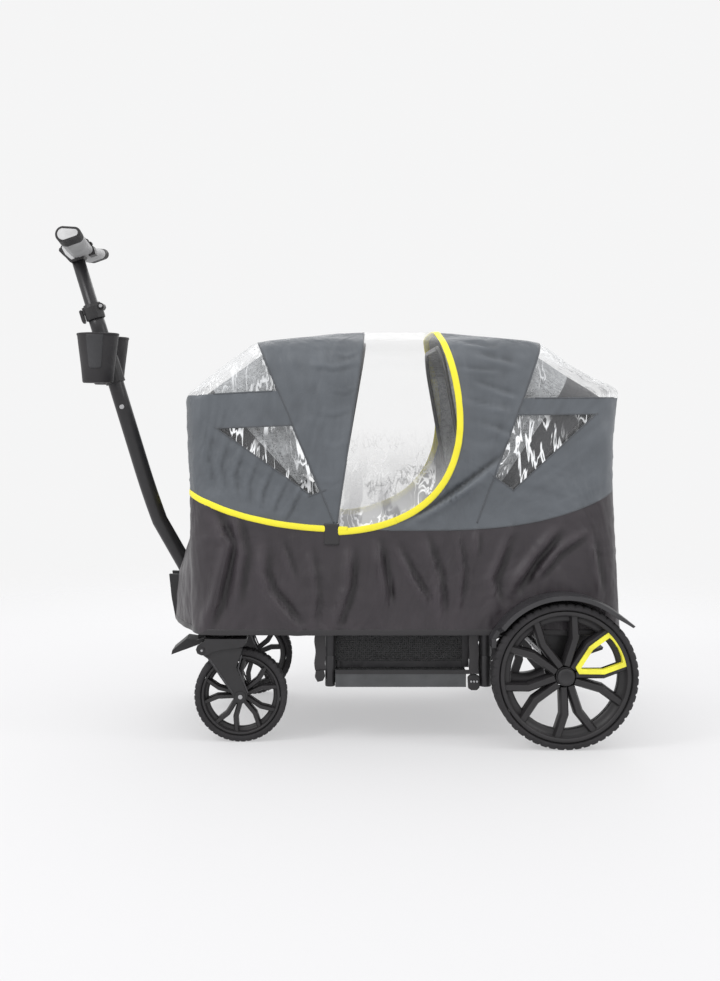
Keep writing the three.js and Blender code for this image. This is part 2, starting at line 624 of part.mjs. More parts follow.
// The clear centre window: a straight front edge along the front canopy hoop and a curved rear edge.
function centreOutline(grow) {
  const curve = new THREE.CubicBezierCurve(new THREE.Vector2(92 + grow, 916), new THREE.Vector2(175 + grow, 700),
    new THREE.Vector2(150 + grow, 480 - grow), new THREE.Vector2(-143, 455 - grow));
  const rear = curve.getPoints(9).map((p) => [p.x, p.y]);
  return [[-72 - grow, 950], [88 + grow, 950], ...rear, [-146 - grow, 455 - grow]];
}

function addCover() {
  const shell = coverShell();
  const upper = shell.intersect(fullWidth([...waistLine(GAP / 2), [600, 1000], [-600, 1000]]));
  const lower = shell.intersect(fullWidth([...waistLine(-GAP / 2), [600, 200], [-600, 200]]));
  addPiece('cover_skirt', lower.subtract(box(-600, -400, -44, 44, 200, 404)), 'skirt');
  addPiece('cover_window_center', upper.intersect(fullWidth(centreOutline(0))), 'vinyl');
  const ends = upper.subtract(fullWidth(centreOutline(GAP)));

  const frontWindow = (grow) => [[-336 + grow, 960], [-322 + grow, 898], [-172 + grow, 545 - 2 * grow],
    [-486, 737 - 2 * grow], [-600, 737 - 2 * grow], [-600, 960]];
  const rearWindow = (grow) => [[336 - grow, 960], [321 - grow, 899], [208 - grow, 575 - 2 * grow],
    [500, 735 - 2 * grow], [600, 735 - 2 * grow], [600, 960]];
  const frontEnd = ends.intersect(box(-600, -66, -300, 300, 400, 1000));
  const rearEnd = ends.intersect(box(-66 + GAP, 600, -300, 300, 400, 1000));
  addPiece('cover_hood_front', frontEnd.subtract(fullWidth(frontWindow(GAP))), 'shell');
  addPiece('cover_hood_rear', rearEnd.subtract(fullWidth(rearWindow(GAP))), 'shell');
  addPiece('cover_window_front', frontEnd.intersect(fullWidth(frontWindow(0))), 'vinyl');
  addPiece('cover_window_rear', rearEnd.intersect(fullWidth(rearWindow(0))), 'vinyl');
}

addUnderFrame();
addSides();
addTopRail();
addBasket();
addFenders();
addYoke();
addHandle();
addCups();
addWheels();
addCasters();
addBrakePedal();
addCanopy('front_canopy', FRONT_CANOPY);
addCanopy('rear_canopy', REAR_CANOPY);
addCover();

// The origin is under the middle of the wagon's box, on the floor.
wagon.updateMatrixWorld(true);
const extent = new THREE.Box3().setFromObject(wagon, true);
wagon.position.set(-(extent.min.x + extent.max.x) / 2, -(extent.min.y + extent.max.y) / 2, -extent.min.z);

export default wagon;
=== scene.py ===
"""The look of the pull wagon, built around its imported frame.

Everything is in metres in the frame's own axes: -X is the handle end, +Y is across and +Z is up.
Sizes below are millimetres from the middle of the wheelbase on the floor, and at() turns them into metres.
"""
import math

import bmesh
import bpy
from mathutils import Matrix, Vector, noise
from mathutils.bvhtree import BVHTree


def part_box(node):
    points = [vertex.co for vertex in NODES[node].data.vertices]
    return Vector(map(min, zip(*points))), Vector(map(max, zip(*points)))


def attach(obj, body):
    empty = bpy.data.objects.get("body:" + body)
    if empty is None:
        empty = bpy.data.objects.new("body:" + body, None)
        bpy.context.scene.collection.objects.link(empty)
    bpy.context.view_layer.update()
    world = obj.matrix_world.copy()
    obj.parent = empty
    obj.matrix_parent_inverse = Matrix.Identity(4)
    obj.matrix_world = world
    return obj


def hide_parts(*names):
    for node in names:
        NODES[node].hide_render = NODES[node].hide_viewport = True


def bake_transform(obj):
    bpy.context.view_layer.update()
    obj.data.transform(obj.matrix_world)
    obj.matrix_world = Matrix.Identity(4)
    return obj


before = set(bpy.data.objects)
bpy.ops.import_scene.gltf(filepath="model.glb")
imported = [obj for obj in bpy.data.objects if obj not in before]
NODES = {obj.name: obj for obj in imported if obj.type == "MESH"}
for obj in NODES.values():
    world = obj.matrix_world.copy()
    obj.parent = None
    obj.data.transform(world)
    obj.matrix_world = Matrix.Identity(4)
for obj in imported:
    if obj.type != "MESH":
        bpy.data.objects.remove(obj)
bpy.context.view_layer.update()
MM = 0.001


def middle(node):
    low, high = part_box(node)
    return (Vector(low) + Vector(high)) / 2


def foot_of(node):
    """The middle of the node's underside."""
    centre = middle(node)
    return Vector((centre.x, centre.y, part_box(node)[0][2]))


MID_X = (middle("rear_tyre_near").x + middle("front_tyre_near").x) / 2


def at(x, y, z):
    return Vector((MID_X + x * MM, y * MM, z * MM))


# ---- driving sizes, in millimetres ----
SIDES = (("near", -1), ("far", 1))
REAR_WHEEL = {"x": 355, "y": 292, "r": 158.75, "bead": 143, "half": 25, "hub": 21,
              "lugs": 52, "groove": 2.4, "turn": 28}
FRONT_WHEEL = {"x": -355, "y": 228, "r": 103.5, "bead": 88, "half": 20, "hub": 15,
               "lugs": 48, "groove": 1.5, "turn": 282}
HANDLE_LEAN = math.radians(17.1)
BEND = (-604, 575)
PIVOT = (-461, 285)
GRIP = (23.4, 585)
FRONT_CANOPY = {"x": -147, "z": 487, "side": -1, "angles": (50, 22.8, -9.8), "hem": 4}
REAR_CANOPY = {"x": 166, "z": 480, "side": 1, "angles": (46, 20.7, -10), "hem": 8}
HOOP_Y = (236, 225, 214)
HOOP_REACH = 410
HOOP_CORNER = 80
COVER_TOP = 917
# The cover's outline, each as (height, reach).
COVER_FRONT_X = ((243, -462), (300, -466), (420, -471), (566, -472),
                 (769, -482), (830, -410), (900, -320), (917, -120))
COVER_REAR_X = ((243, 494), (300, 492), (420, 487), (600, 482), (690, 485),
                (787, 498), (812, 440), (840, 392), (900, 320), (917, 110))
COVER_HALF_Y = ((243, 264), (400, 258), (500, 254), (700, 248), (800, 240),
                (850, 229), (888, 207), (904, 182), (917, 130))
COVER_BOW = ((243, 60), (350, 48), (450, 12), (520, 0), (917, 0))
COVER_CORNER = 55


# ---- camera, light and floor ----
def add_camera():
    data = bpy.data.cameras.new("camera")
    data.sensor_width = 36
    data.lens = 43.6
    camera = bpy.data.objects.new("camera", data)
    data.shift_x = 0.0408
    data.shift_y = -0.0749
    camera.location = at(-178.6, -2890, 723)
    camera.rotation_euler = (math.pi / 2, 0, 0)
    bpy.context.scene.collection.objects.link(camera)
    bpy.context.scene.camera = camera


def add_light(name, place, aim, power, size):
    data = bpy.data.lights.new(name, "AREA")
    data.energy = power
    data.size = size
    light = bpy.data.objects.new(name, data)
    light.location = place
    light.rotation_euler = (Vector(aim) - Vector(place)).to_track_quat("-Z", "Y").to_euler()
    bpy.context.scene.collection.objects.link(light)


def add_studio():
    world = bpy.data.worlds.new("studio")
    world.use_nodes = True
    background = world.node_tree.nodes["Background"]
    background.inputs["Color"].default_value = (0.914, 0.914, 0.916, 1)
    nodes, links = world.node_tree.nodes, world.node_tree.links
    direction = nodes.new("ShaderNodeTexCoord").outputs["Generated"]
    split = nodes.new("ShaderNodeSeparateXYZ")
    links.new(direction, split.inputs["Vector"])
    overhead = nodes.new("ShaderNodeMapRange")
    overhead.interpolation_type = "SMOOTHSTEP"
    for name, value in (("From Min", 0.45), ("From Max", 0.9), ("To Min", 1.0), ("To Max", 1.5)):
        overhead.inputs[name].default_value = value
    links.new(split.outputs["Z"], overhead.inputs["Value"])
    links.new(overhead.outputs["Result"], background.inputs["Strength"])
    bpy.context.scene.world = world
    bpy.context.scene.view_settings.view_transform = "Standard"
    add_light("key", (-2.2, -1.7, 2.9), (0.1, 0, 0.5), 36, 1.0)
    add_light("side", (2.6, -1.0, 1.9), (0.3, 0, 0.5), 13, 0.8)
    add_light("back", (0.4, 2.6, 2.6), (0.1, 0, 0.6), 18, 2.0)

    mesh = bpy.data.meshes.new("floor")
    reach = 14.0
    corners = [(-reach, -reach, 0), (reach, -reach, 0), (reach, reach, 0), (-reach, reach, 0)]
    mesh.from_pydata(corners, [], [(0, 1, 2, 3)])
    floor = bpy.data.objects.new("floor", mesh)
    floor.location.z = -0.0005
    bpy.context.scene.collection.objects.link(floor)
    look = Look("floor_paper", (0.34, 0.34, 0.345), 0.9)
    look.shader.inputs["Emission Color"].default_value = (0.968, 0.963, 0.972, 1)
    look.shader.inputs["Emission Strength"].default_value = 0.455
    fade = look.math("SMOOTHSTEP", look.length_xy(), 1.2, 3.2)
    clear = look.node("ShaderNodeBsdfTransparent")
    mix = look.node("ShaderNodeMixShader")
    look.link(fade, mix.inputs["Fac"])
    look.link(look.shader.outputs["BSDF"], mix.inputs[1])
    look.link(clear.outputs["BSDF"], mix.inputs[2])
    look.link(mix.outputs["Shader"], look.output.inputs["Surface"])
    mesh.materials.append(look.material)


# ---- materials ----
class Look:
    """A node material with a few helpers for procedural colour and relief."""

    def __init__(self, name, base, rough, metal=0.0):
        self.material = bpy.data.materials.new(name)
        self.material.use_nodes = True
        self.tree = self.material.node_tree
        self.shader = self.tree.nodes["Principled BSDF"]
        self.output = self.tree.nodes["Material Output"]
        self.shader.inputs["Base Color"].default_value = (*base, 1)
        self.shader.inputs["Roughness"].default_value = rough
        self.shader.inputs["Metallic"].default_value = metal
        self.base = base
        self.relief = None
        self.place = self.node("ShaderNodeTexCoord").outputs["Object"]

    def node(self, kind, **settings):
        made = self.tree.nodes.new(kind)
        for key, value in settings.items():
            setattr(made, key, value)
        return made

    def link(self, source, target):
        self.tree.links.new(source, target)

    def math(self, operation, first, *rest):
        if operation == "SMOOTHSTEP":
            ramp = self.node("ShaderNodeMapRange", interpolation_type="SMOOTHSTEP")
            self.link(first, ramp.inputs["Value"])
            ramp.inputs["From Min"].default_value, ramp.inputs["From Max"].default_value = rest[:2]
            return ramp.outputs["Result"]
        made = self.node("ShaderNodeMath", operation=operation)
        for i, value in enumerate((first, *rest)):
            if isinstance(value, (int, float)):
                made.inputs[i].default_value = value
            else:
                self.link(value, made.inputs[i])
        return made.outputs["Value"]

    def length_xy(self):
        flat = self.node("ShaderNodeVectorMath", operation="MULTIPLY")
        self.link(self.place, flat.inputs[0])
        flat.inputs[1].default_value = (1, 1, 0)
        length = self.node("ShaderNodeVectorMath", operation="LENGTH")
        self.link(flat.outputs["Vector"], length.inputs[0])
        return length.outputs["Value"]

    def stretched(self, scale):
        mapping = self.node("ShaderNodeMapping")
        mapping.inputs["Scale"].default_value = scale
        self.link(self.place, mapping.inputs["Vector"])
        return mapping.outputs["Vector"]

    def noise(self, scale, detail=4.0, rough=0.55, stretch=(1, 1, 1), twist=0.0):
        made = self.node("ShaderNodeTexNoise")
        self.link(self.stretched(stretch), made.inputs["Vector"])
        made.inputs["Scale"].default_value = scale
        made.inputs["Detail"].default_value = detail
        made.inputs["Roughness"].default_value = rough
        made.inputs["Distortion"].default_value = twist
        return made.outputs["Fac"]

    def vary(self, amount, driver, dark=None, light=None):
        """Base colour between a darker and a lighter tone by a 0 to 1 driver."""
        dark = dark or tuple(c * (1 - amount) for c in self.base)
        light = light or tuple(min(1, c * (1 + amount)) for c in self.base)
        ramp = self.node("ShaderNodeValToRGB")
        ramp.color_ramp.elements[0].position = 0.3
        ramp.color_ramp.elements[1].position = 0.7
        ramp.color_ramp.elements[0].color = (*dark, 1)
        ramp.color_ramp.elements[1].color = (*light, 1)
        self.link(driver, ramp.inputs["Fac"])
        self.link(ramp.outputs["Color"], self.shader.inputs["Base Color"])
        return ramp.outputs["Color"]

    def grey_between(self, light, dark, share):
        """Blends the base colour between two greys."""
        mix = self.node("ShaderNodeMix")
        mix.data_type = "RGBA"
        mix.inputs[6].default_value = (light, light, light, 1)
        mix.inputs[7].default_value = (dark, dark, dark * 1.02, 1)
        self.link(share, mix.inputs[0])
        self.link(mix.outputs[2], self.shader.inputs["Base Color"])

    def rough_between(self, low, high, driver):
        spread = self.node("ShaderNodeMapRange")
        self.link(driver, spread.inputs["Value"])
        spread.inputs["To Min"].default_value = low
        spread.inputs["To Max"].default_value = high
        self.link(spread.outputs["Result"], self.shader.inputs["Roughness"])

    def bump(self, height, distance, strength=1.0):
        made = self.node("ShaderNodeBump")
        made.inputs["Distance"].default_value = distance
        made.inputs["Strength"].default_value = strength
        self.link(height, made.inputs["Height"])
        if self.relief:
            self.link(self.relief, made.inputs["Normal"])
        self.relief = made.outputs["Normal"]
        self.link(self.relief, self.shader.inputs["Normal"])

    def weave(self, pitch, distance):
        """Crossed threads, one pitch apart in metres."""
        waves = []
        for direction in ("X", "Z", "Y"):
            wave = self.node("ShaderNodeTexWave", wave_type="BANDS", bands_direction=direction)
            self.link(self.place, wave.inputs["Vector"])
            wave.inputs["Scale"].default_value = 0.314 / pitch
            waves.append(wave.outputs["Fac"])
        crossed = self.math("ADD", self.math("ADD", waves[0], waves[1]), waves[2])
        self.bump(crossed, distance, 0.5)


def fabric_look(name, base, amount=0.1, pitch=0.0011, crumple=1.0):
    """Coated woven cloth: a fine weave, hand-sized waves and slanting creases between flat faces."""
    look = Look(name, base, 0.6)
    look.shader.inputs["Sheen Weight"].default_value = 0.1
    tone = look.vary(amount, look.noise(7, 6))
    # Painted shade and highlight: the relief layer scales the colour, darker in the fold valleys and lighter
    # on the fold ridges.
    relief = look.node("ShaderNodeAttribute")
    relief.attribute_name = "relief"
    painted_fold_shading = look.math("MULTIPLY_ADD", relief.outputs["Fac"], 1.0, 1.0)
    scaled = look.node("ShaderNodeVectorMath")
    scaled.operation = "SCALE"
    look.link(tone, scaled.inputs[0])
    look.link(painted_fold_shading, scaled.inputs["Scale"])
    look.link(scaled.outputs["Vector"], look.shader.inputs["Base Color"])
    look.rough_between(0.34, 0.6, look.noise(14, 5))
    look.bump(look.noise(8, 3, 0.5, (1, 1, 0.5), 0.8), 0.030 * crumple, 0.9)
    mapping = look.node("ShaderNodeMapping")
    mapping.inputs["Rotation"].default_value = (0, 0.55, 0)
    mapping.inputs["Scale"].default_value = (1, 1, 0.4)
    look.link(look.place, mapping.inputs["Vector"])
    plates = look.node("ShaderNodeTexVoronoi")
    plates.feature = "SMOOTH_F1"
    plates.inputs["Scale"].default_value = 17
    plates.inputs["Smoothness"].default_value = 0.35
    bent = look.node("ShaderNodeTexNoise")
    bent.inputs["Scale"].default_value = 9
    bent.inputs["Detail"].default_value = 2
    look.link(mapping.outputs["Vector"], bent.inputs["Vector"])
    shift = look.node("ShaderNodeVectorMath")
    shift.operation = "MULTIPLY_ADD"
    look.link(bent.outputs["Color"], shift.inputs[0])
    shift.inputs[1].default_value = (0.09, 0.09, 0.09)
    look.link(mapping.outputs["Vector"], shift.inputs[2])
    look.link(shift.outputs["Vector"], plates.inputs["Vector"])
    look.bump(plates.outputs["Distance"], 0.0075 * crumple, 0.8)
    look.weave(pitch, 0.00012)
    return look.material


def plastic_look(name, base, rough=0.5, grain=0.00007):
    look = Look(name, base, rough)
    look.vary(0.18, look.noise(22, 4))
    look.rough_between(rough - 0.1, rough + 0.12, look.noise(45, 5))
    look.bump(look.noise(900, 2), grain, 0.6)
    return look.material


def metal_look(name, base, rough, metal):
    look = Look(name, base, rough, metal)
    look.vary(0.12, look.noise(30, 4))
    look.rough_between(rough - 0.08, rough + 0.1, look.noise(60, 5, 0.5, (0.2, 1, 1)))
    look.bump(look.noise(1400, 2), 0.00004, 0.5)
    return look.material


def rubber_look(name, base):
    look = Look(name, base, 0.8)
    look.vary(0.3, look.noise(18, 5))
    look.rough_between(0.68, 0.92, look.noise(50, 4))
    look.bump(look.noise(500, 3), 0.00015, 0.7)
    return look.material


def vinyl_look(name, clearness, streak, rise=None, turn=0.0, spread=(1.0, 1.0, 0.22), cover=0.44):
    """Clear film with creases painted as white highlights, which fade out between the two heights in rise."""
    look = Look(name, (0.93, 0.945, 0.96), 0.12)
    mapping = look.node("ShaderNodeMapping")
    mapping.inputs["Rotation"].default_value = (0, turn, 0)
    mapping.inputs["Scale"].default_value = spread
    look.link(look.place, mapping.inputs["Vector"])
    crumple = look.node("ShaderNodeTexNoise")
    crumple.inputs["Scale"].default_value = 42
    crumple.inputs["Detail"].default_value = 2.5
    crumple.inputs["Distortion"].default_value = 0.9
    look.link(mapping.outputs["Vector"], crumple.inputs["Vector"])
    # Painted highlight: thin lines in the noise make the film white and nearly opaque along its creases.
    ridge = look.math("ABSOLUTE", look.math("SUBTRACT", crumple.outputs["Fac"], 0.5))
    crease = look.math("SMOOTHSTEP", ridge, 0.045, 0.01)
    patch = look.math("SMOOTHSTEP", look.noise(9, 2, 0.5), cover, cover + 0.14)
    amount = look.math("MULTIPLY", look.math("MULTIPLY", crease, patch), streak)
    if rise:
        split = look.node("ShaderNodeSeparateXYZ")
        look.link(look.place, split.inputs["Vector"])
        low = look.math("SMOOTHSTEP", split.outputs["Z"], rise[1], rise[0])
        amount = look.math("MULTIPLY", amount, low)
        # Painted crease shade: grey streaks over the lower film; the film is also made more opaque towards
        # the bottom.
        shade = look.math("SMOOTHSTEP", look.noise(16, 3, 0.5, (1, 1, 0.35), 1.2), 0.5, 0.62)
        look.grey_between(0.93, 0.5, look.math("MULTIPLY", shade, low))
        amount = look.math("ADD", amount, look.math("MULTIPLY", low, 0.5))
    # Painted reflection: the film turns whiter and more opaque towards grazing angles.
    rim = look.node("ShaderNodeLayerWeight")
    rim.inputs["Blend"].default_value = 0.25
    edge = look.math("MULTIPLY", rim.outputs["Facing"], 0.35)
    solid = look.math("MINIMUM", look.math("ADD", look.math("ADD", amount, edge), clearness), 0.97)
    look.link(solid, look.shader.inputs["Alpha"])
    look.bump(crumple.outputs["Fac"], 0.003, 0.8)
    look.shader.inputs["Coat Weight"].default_value = 0.5
    look.shader.inputs["Coat Roughness"].default_value = 0.05
    return look.material


def mesh_look(name, base, thread, hole):
    """Open mesh cloth: pale threads with small regular holes."""
    look = Look(name, base, 0.8)
    cells = look.node("ShaderNodeTexVoronoi", feature="F1")
    look.link(look.place, cells.inputs["Vector"])
    cells.inputs["Scale"].default_value = 1 / thread
    cells.inputs["Randomness"].default_value = 0.35
    open_part = look.math("SMOOTHSTEP", cells.outputs["Distance"], 0.30, 0.42)
    look.vary(0.25, look.noise(120, 3))
    look.link(look.math("ADD", look.math("MULTIPLY", open_part, 1 - hole), hole), look.shader.inputs["Alpha"])
    look.bump(cells.outputs["Distance"], 0.0006, 0.6)
    return look.material


def make_looks():
    return {
        "frame": metal_look("frame_black", (0.030, 0.029, 0.031), 0.36, 0.35),
        "rail": metal_look("rail_grey", (0.085, 0.087, 0.09), 0.4, 0.55),
        "silver": metal_look("bright_steel", (0.45, 0.45, 0.46), 0.28, 0.95),
        "plastic": plastic_look("black_plastic", (0.018, 0.017, 0.0185)),
        "fender": plastic_look("fender_plastic", (0.034, 0.033, 0.036), 0.36),
        "wheel": plastic_look("wheel_plastic", (0.018, 0.0165, 0.018), 0.46),
        "cup": plastic_look("cup_plastic", (0.016, 0.0145, 0.0165), 0.55),
        "cup_panel": plastic_look("cup_panel_plastic", (0.034, 0.034, 0.037), 0.6),
        "grip": plastic_look("grip_grey", (0.34, 0.34, 0.345), 0.6, 0.0001),
        "grip_face": plastic_look("grip_face_grey", (0.54, 0.54, 0.545), 0.5),
        "tyre": rubber_look("tyre_rubber", (0.021, 0.0195, 0.0215)),
        "yellow": plastic_look("yellow_insert", (0.92, 0.83, 0.06), 0.45),
        "binding": fabric_look("yellow_binding", (0.90, 0.80, 0.03), 0.06, 0.0009, 0.15),
        "shell": fabric_look("grey_shell", (0.090, 0.100, 0.113), 0.12),
        "skirt": fabric_look("dark_skirt", (0.0270, 0.0215, 0.0260), 0.14),
        "seam": fabric_look("seam_tape", (0.07, 0.076, 0.085), 0.1, 0.0011, 0.1),
        "strap": fabric_look("strap_webbing", (0.022, 0.020, 0.022), 0.12, 0.0016, 0.15),
        "liner": fabric_look("basket_liner", (0.012, 0.011, 0.013), 0.2, 0.0016),
        "canopy": mesh_look("canopy_mesh", (0.36, 0.37, 0.38), 0.0032, 0.4),
        "canopy_cloth": fabric_look("canopy_cloth", (0.018, 0.018, 0.021), 0.3),
        "net": mesh_look("footwell_net", (0.030, 0.030, 0.031), 0.0044, 0.35),
        "clear": vinyl_look("clear_film", 0.05, 0.85, (0.47, 0.71), 0.5, (1.0, 1.0, 0.5), 0.38),
        "slope": vinyl_look("slope_film", 0.07, 0.5, None, 1.2, (1.0, 1.0, 0.25)),
        "crinkled": vinyl_look("crinkled_film", 0.06, 0.95, None, -0.45, (1.0, 1.0, 0.2), 0.36),
        "deck": plastic_look("deck_board", (0.016, 0.015, 0.017), 0.7),
    }


add_camera()
add_studio()
LOOK = make_looks()


# ---- mesh helpers ----
def link_mesh(name, mesh, look, smooth=True):
    made = bpy.data.objects.new(name, mesh)
    bpy.context.scene.collection.objects.link(made)
    mesh.materials.append(LOOK[look])
    if smooth:
        mesh.polygons.foreach_set("use_smooth", [True] * len(mesh.polygons))
    return made


def from_bmesh(name, bm, look, smooth=True):
    bmesh.ops.recalc_face_normals(bm, faces=bm.faces[:])
    mesh = bpy.data.meshes.new(name)
    bm.to_mesh(mesh)
    bm.free()
    return link_mesh(name, mesh, look, smooth)


def soften(piece, width, segments=3, angle=32):
    """Rounds the piece's edges and keeps its flats flat."""
    bevel = piece.modifiers.new("soft_edge", "BEVEL")
    bevel.width = width * MM
    bevel.segments = segments
    bevel.limit_method = "ANGLE"
    bevel.angle_limit = math.radians(angle)
    bevel.harden_normals = False
    piece.modifiers.new("even_normals", "WEIGHTED_NORMAL").keep_sharp = True
    return piece


def lathe(bm, profile, place, axis="Y", steps=96):
    """Turns [radius, along] millimetre pairs about an axis through place, joined end to end."""
    rows = []
    for i in range(steps):
        turn = 2 * math.pi * i / steps
        c, s = math.cos(turn), math.sin(turn)
        row = []
        for radius, along in profile:
            offset = {
                "Y": Vector((radius * c, along, radius * s)),
                "Z": Vector((radius * c, radius * s, along)),
            }[axis]
            row.append(bm.verts.new(place + offset * MM))
        rows.append(row)
    count = len(profile)
    for i in range(steps):
        a, b = rows[i], rows[(i + 1) % steps]
        for k in range(count - 1):
            bm.faces.new((a[k], a[k + 1], b[k + 1], b[k]))
    bmesh.ops.remove_doubles(bm, verts=bm.verts[:], dist=1e-6)


def skin(bm, rings, first=True, last=True):
    """Joins closed rings of points one to the next, and closes the first and the last ring."""
    for a, b in zip(rings, rings[1:]):
        for k in range(len(a)):
            j = (k + 1) % len(a)
            bm.faces.new((a[k], a[j], b[j], b[k]))
    if first:
        bm.faces.new(rings[0][::-1])
    if last:
        bm.faces.new(rings[-1])


def bar(bm, start, end, radius, steps=28, end_radius=None):
    """A round bar between two points, closed at both ends."""
    axis = (end - start).normalized()
    side = axis.orthogonal().normalized()
    other = axis.cross(side)
    rings = []
    for point, r in ((start, radius), (end, end_radius or radius)):
        rings.append([
            bm.verts.new(point + (side * math.cos(t) + other * math.sin(t)) * r * MM)
            for t in (2 * math.pi * i / steps for i in range(steps))
        ])
    skin(bm, rings)


def slab(bm, outline, y0, y1):
    """An outline of [x, z] pairs, in millimetres, standing from y0 to y1."""
    rings = [[bm.verts.new(at(x, y, z)) for x, z in outline] for y in (y0, y1)]
    skin(bm, rings)


def tube(name, points, radius, look, steps=24, caps=True):
    """A round tube through points, turned smoothly from one to the next."""
    bm = bmesh.new()
    rings = []
    up = Vector((0, 1, 0))
    for i, point in enumerate(points):
        ahead = points[min(i + 1, len(points) - 1)] - points[max(i - 1, 0)]
        side = ahead.cross(up)
        side = side.normalized() if side.length > 1e-9 else Vector((1, 0, 0))
        other = side.cross(ahead.normalized()).normalized()
        rings.append([
            bm.verts.new(point + (side * math.cos(t) + other * math.sin(t)) * radius * MM)
            for t in (2 * math.pi * k / steps for k in range(steps))
        ])
    skin(bm, rings, caps, caps)
    return from_bmesh(name, bm, look)


def between(table, level):
    if level <= table[0][0]:
        return table[0][1]
    for (k0, v0), (k1, v1) in zip(table, table[1:]):
        if level <= k1:
            return v0 + (v1 - v0) * (level - k0) / (k1 - k0)
    return table[-1][1]


# ---- weather cover ----
def eased(table, level, reach=9):
    """The table's value, averaged over a few millimetres so that its corners are round."""
    return sum(between(table, level + reach * k / 2) for k in range(-2, 3)) / 5


def waist(x):
    return 472 + 92 * (min(abs(x), 490) / 490) ** 3.2


def loop_curve(share):
    """The curved rear edge of the centre window, from the roof down to the waist."""
    a, b, c, d = (92, 916), (175, 700), (150, 480), (-143, 468)
    s = 1 - share
    weights = (s ** 3, 3 * s * s * share, 3 * s * share * share, share ** 3)
    return tuple(sum(w * p[i] for w, p in zip(weights, (a, b, c, d))) for i in (0, 1))


LOOP = [loop_curve(i / 60) for i in range(61)]


def loop_x(z):
    """How far back the centre window reaches at a height."""
    if z >= LOOP[0][1]:
        return LOOP[0][0]
    for (x0, z0), (x1, z1) in zip(LOOP, LOOP[1:]):
        if z >= z1:
            return x1 + (x0 - x1) * (z - z1) / (z0 - z1)
    return LOOP[-1][0]


def line_x(a, b):
    return lambda z: a[0] + (b[0] - a[0]) * (z - a[1]) / (b[1] - a[1])


FRONT_FAN = line_x((-324, 906), (-146, 484))
CENTRE_FRONT = line_x((-78, 909), (-143, 474))
REAR_FAN = line_x((324, 898), (168, 484))
FRONT_CUTS = (
    ((-416, 774), (-285, 781)),
    ((-410, 698), (-243, 705)),
    ((-412, 700), (-198, 549)),
    ((-205, 546), (-165, 561)),
)
REAR_CUTS = (
    ((300, 765), (480, 766)),
    ((262, 728), (440, 730)),
    ((439, 732), (250, 559)),
    ((205, 593), (252, 559)),
)


def above(cut, x, z):
    (x0, z0), (x1, z1) = cut
    return z - (z0 + (z1 - z0) * (x - x0) / (x1 - x0))


def panel_of(x, z):
    """The cover panel that a point belongs to."""
    if z < waist(x):
        return "skirt"
    if x < CENTRE_FRONT(z):
        if x < FRONT_FAN(z) - 3:
            top, band, low, foot = FRONT_CUTS
            if above(top, x, z) > 0:
                return "front_upper_window"
            if above(band, x, z) < 0 and above(low, x, z) > 0 and above(foot, x, z) > 0:
                return "front_lower_window"
        return "front_hood"
    if x < loop_x(z):
        return "centre_window"
    if x > REAR_FAN(z) + 3:
        top, band, low, foot = REAR_CUTS
        if above(top, x, z) > 0:
            return "rear_upper_window"
        if above(band, x, z) < 0 and above(low, x, z) > 0 and above(foot, x, z) > 0:
            return "rear_lower_window"
    return "rear_hood"


def ridged(point, sharp=1.0):
    return max(0.0, 1 - abs(noise.noise(point)) * 2.4) ** (1.6 * sharp)


# Folds on each side as (width, height, [x, z] points from the top down).
DRAPES = (
    (13, 9, ((-305, 452), (-309, 375), (-292, 330), (-252, 282), (-216, 243))),
    (9, 5, ((-270, 452), (-234, 350))),
    (12, 8, ((-112, 440), (-119, 344), (-152, 250))),
    (10, 5, ((-205, 440), (-190, 330), (-196, 250))),
    (12, 8, ((-58, 455), (-40, 360), (-30, 300))),
    (10, 7, ((-14, 440), (20, 370), (64, 300))),
    (12, 8, ((46, 462), (78, 370), (88, 262))),
    (8, 5, ((124, 462), (136, 380), (128, 300))),
    (8, 5, ((168, 470), (167, 410))),
    (12, 8, ((243, 474), (198, 362), (214, 300))),
    (13, 10, ((352, 484), (290, 410), (240, 335))),
    (10, 7, ((412, 470), (345, 424), (300, 366))),
    (9, 6, ((420, 470), (432, 390), (442, 330))),
    (14, 9, ((-428, 520), (-384, 440), (-411, 317), (-440, 246))),
    (12, 7, ((-370, 505), (-352, 420), (-368, 300))),
)
DRAPE_WIDTH = 0.9
DRAPE_HEIGHT = 1.5


def gather(z, width, height, reach):
    """A fold that runs forward from the centre seam."""
    x = CENTRE_FRONT(z)
    return width, height, ((x - 4, z), (x - reach / 2, z - 12), (x - reach, z - 5))


def ripple(z, reach, width, height, drop):
    """A fold that runs back from the binding and falls towards its end."""
    path = ((120 + reach, z), (180 + reach, z - 4 - drop), (215 + reach + drop, z - 3 - 2 * drop))
    return width, height, path


def slant(k):
    """A fold that climbs back from the foot of the binding."""
    path = ((18 + 29 * k, 484 + 15 * k), (84 + 27 * k, 522 + 19 * k), (150 + 21 * k, 566 + 18 * k))
    return 7, 5.0 - 0.5 * (k % 3), path


def tuck(k):
    """A short fold that falls from the front cut."""
    path = ((-420 + 34 * k, 700 - 20 * k), (-436 + 31 * k, 636 - 20 * k), (-420 + 26 * k, 566 - 12 * k))
    return 6, 4.2 - 0.6 * (k % 2), path


GATHERS = tuple(gather(*values) for values in (
    (872, 5, 1.6, 70), (846, 7, 2.0, 120), (790, 5, 1.4, 60),
    (742, 6, 1.8, 95), (668, 5, 1.3, 60), (590, 5, 1.5, 55),
))
RIPPLES = tuple(ripple(*values) for values in (
    (888, 10, 6, 2.6, 6), (861, 44, 9, 3.2, 14), (829, 6, 6, 2.2, 3),
    (798, 36, 8, 3.4, 18), (757, 20, 7, 2.8, 10), (706, 50, 9, 3.6, 20),
))
SLANTS = tuple(slant(k) for k in range(7))
TUCKS = tuple(tuck(k) for k in range(7))
DRAPES = tuple((width * DRAPE_WIDTH, height * DRAPE_HEIGHT, path) for width, height, path in DRAPES)
FOLDS = DRAPES + GATHERS + RIPPLES + SLANTS + TUCKS


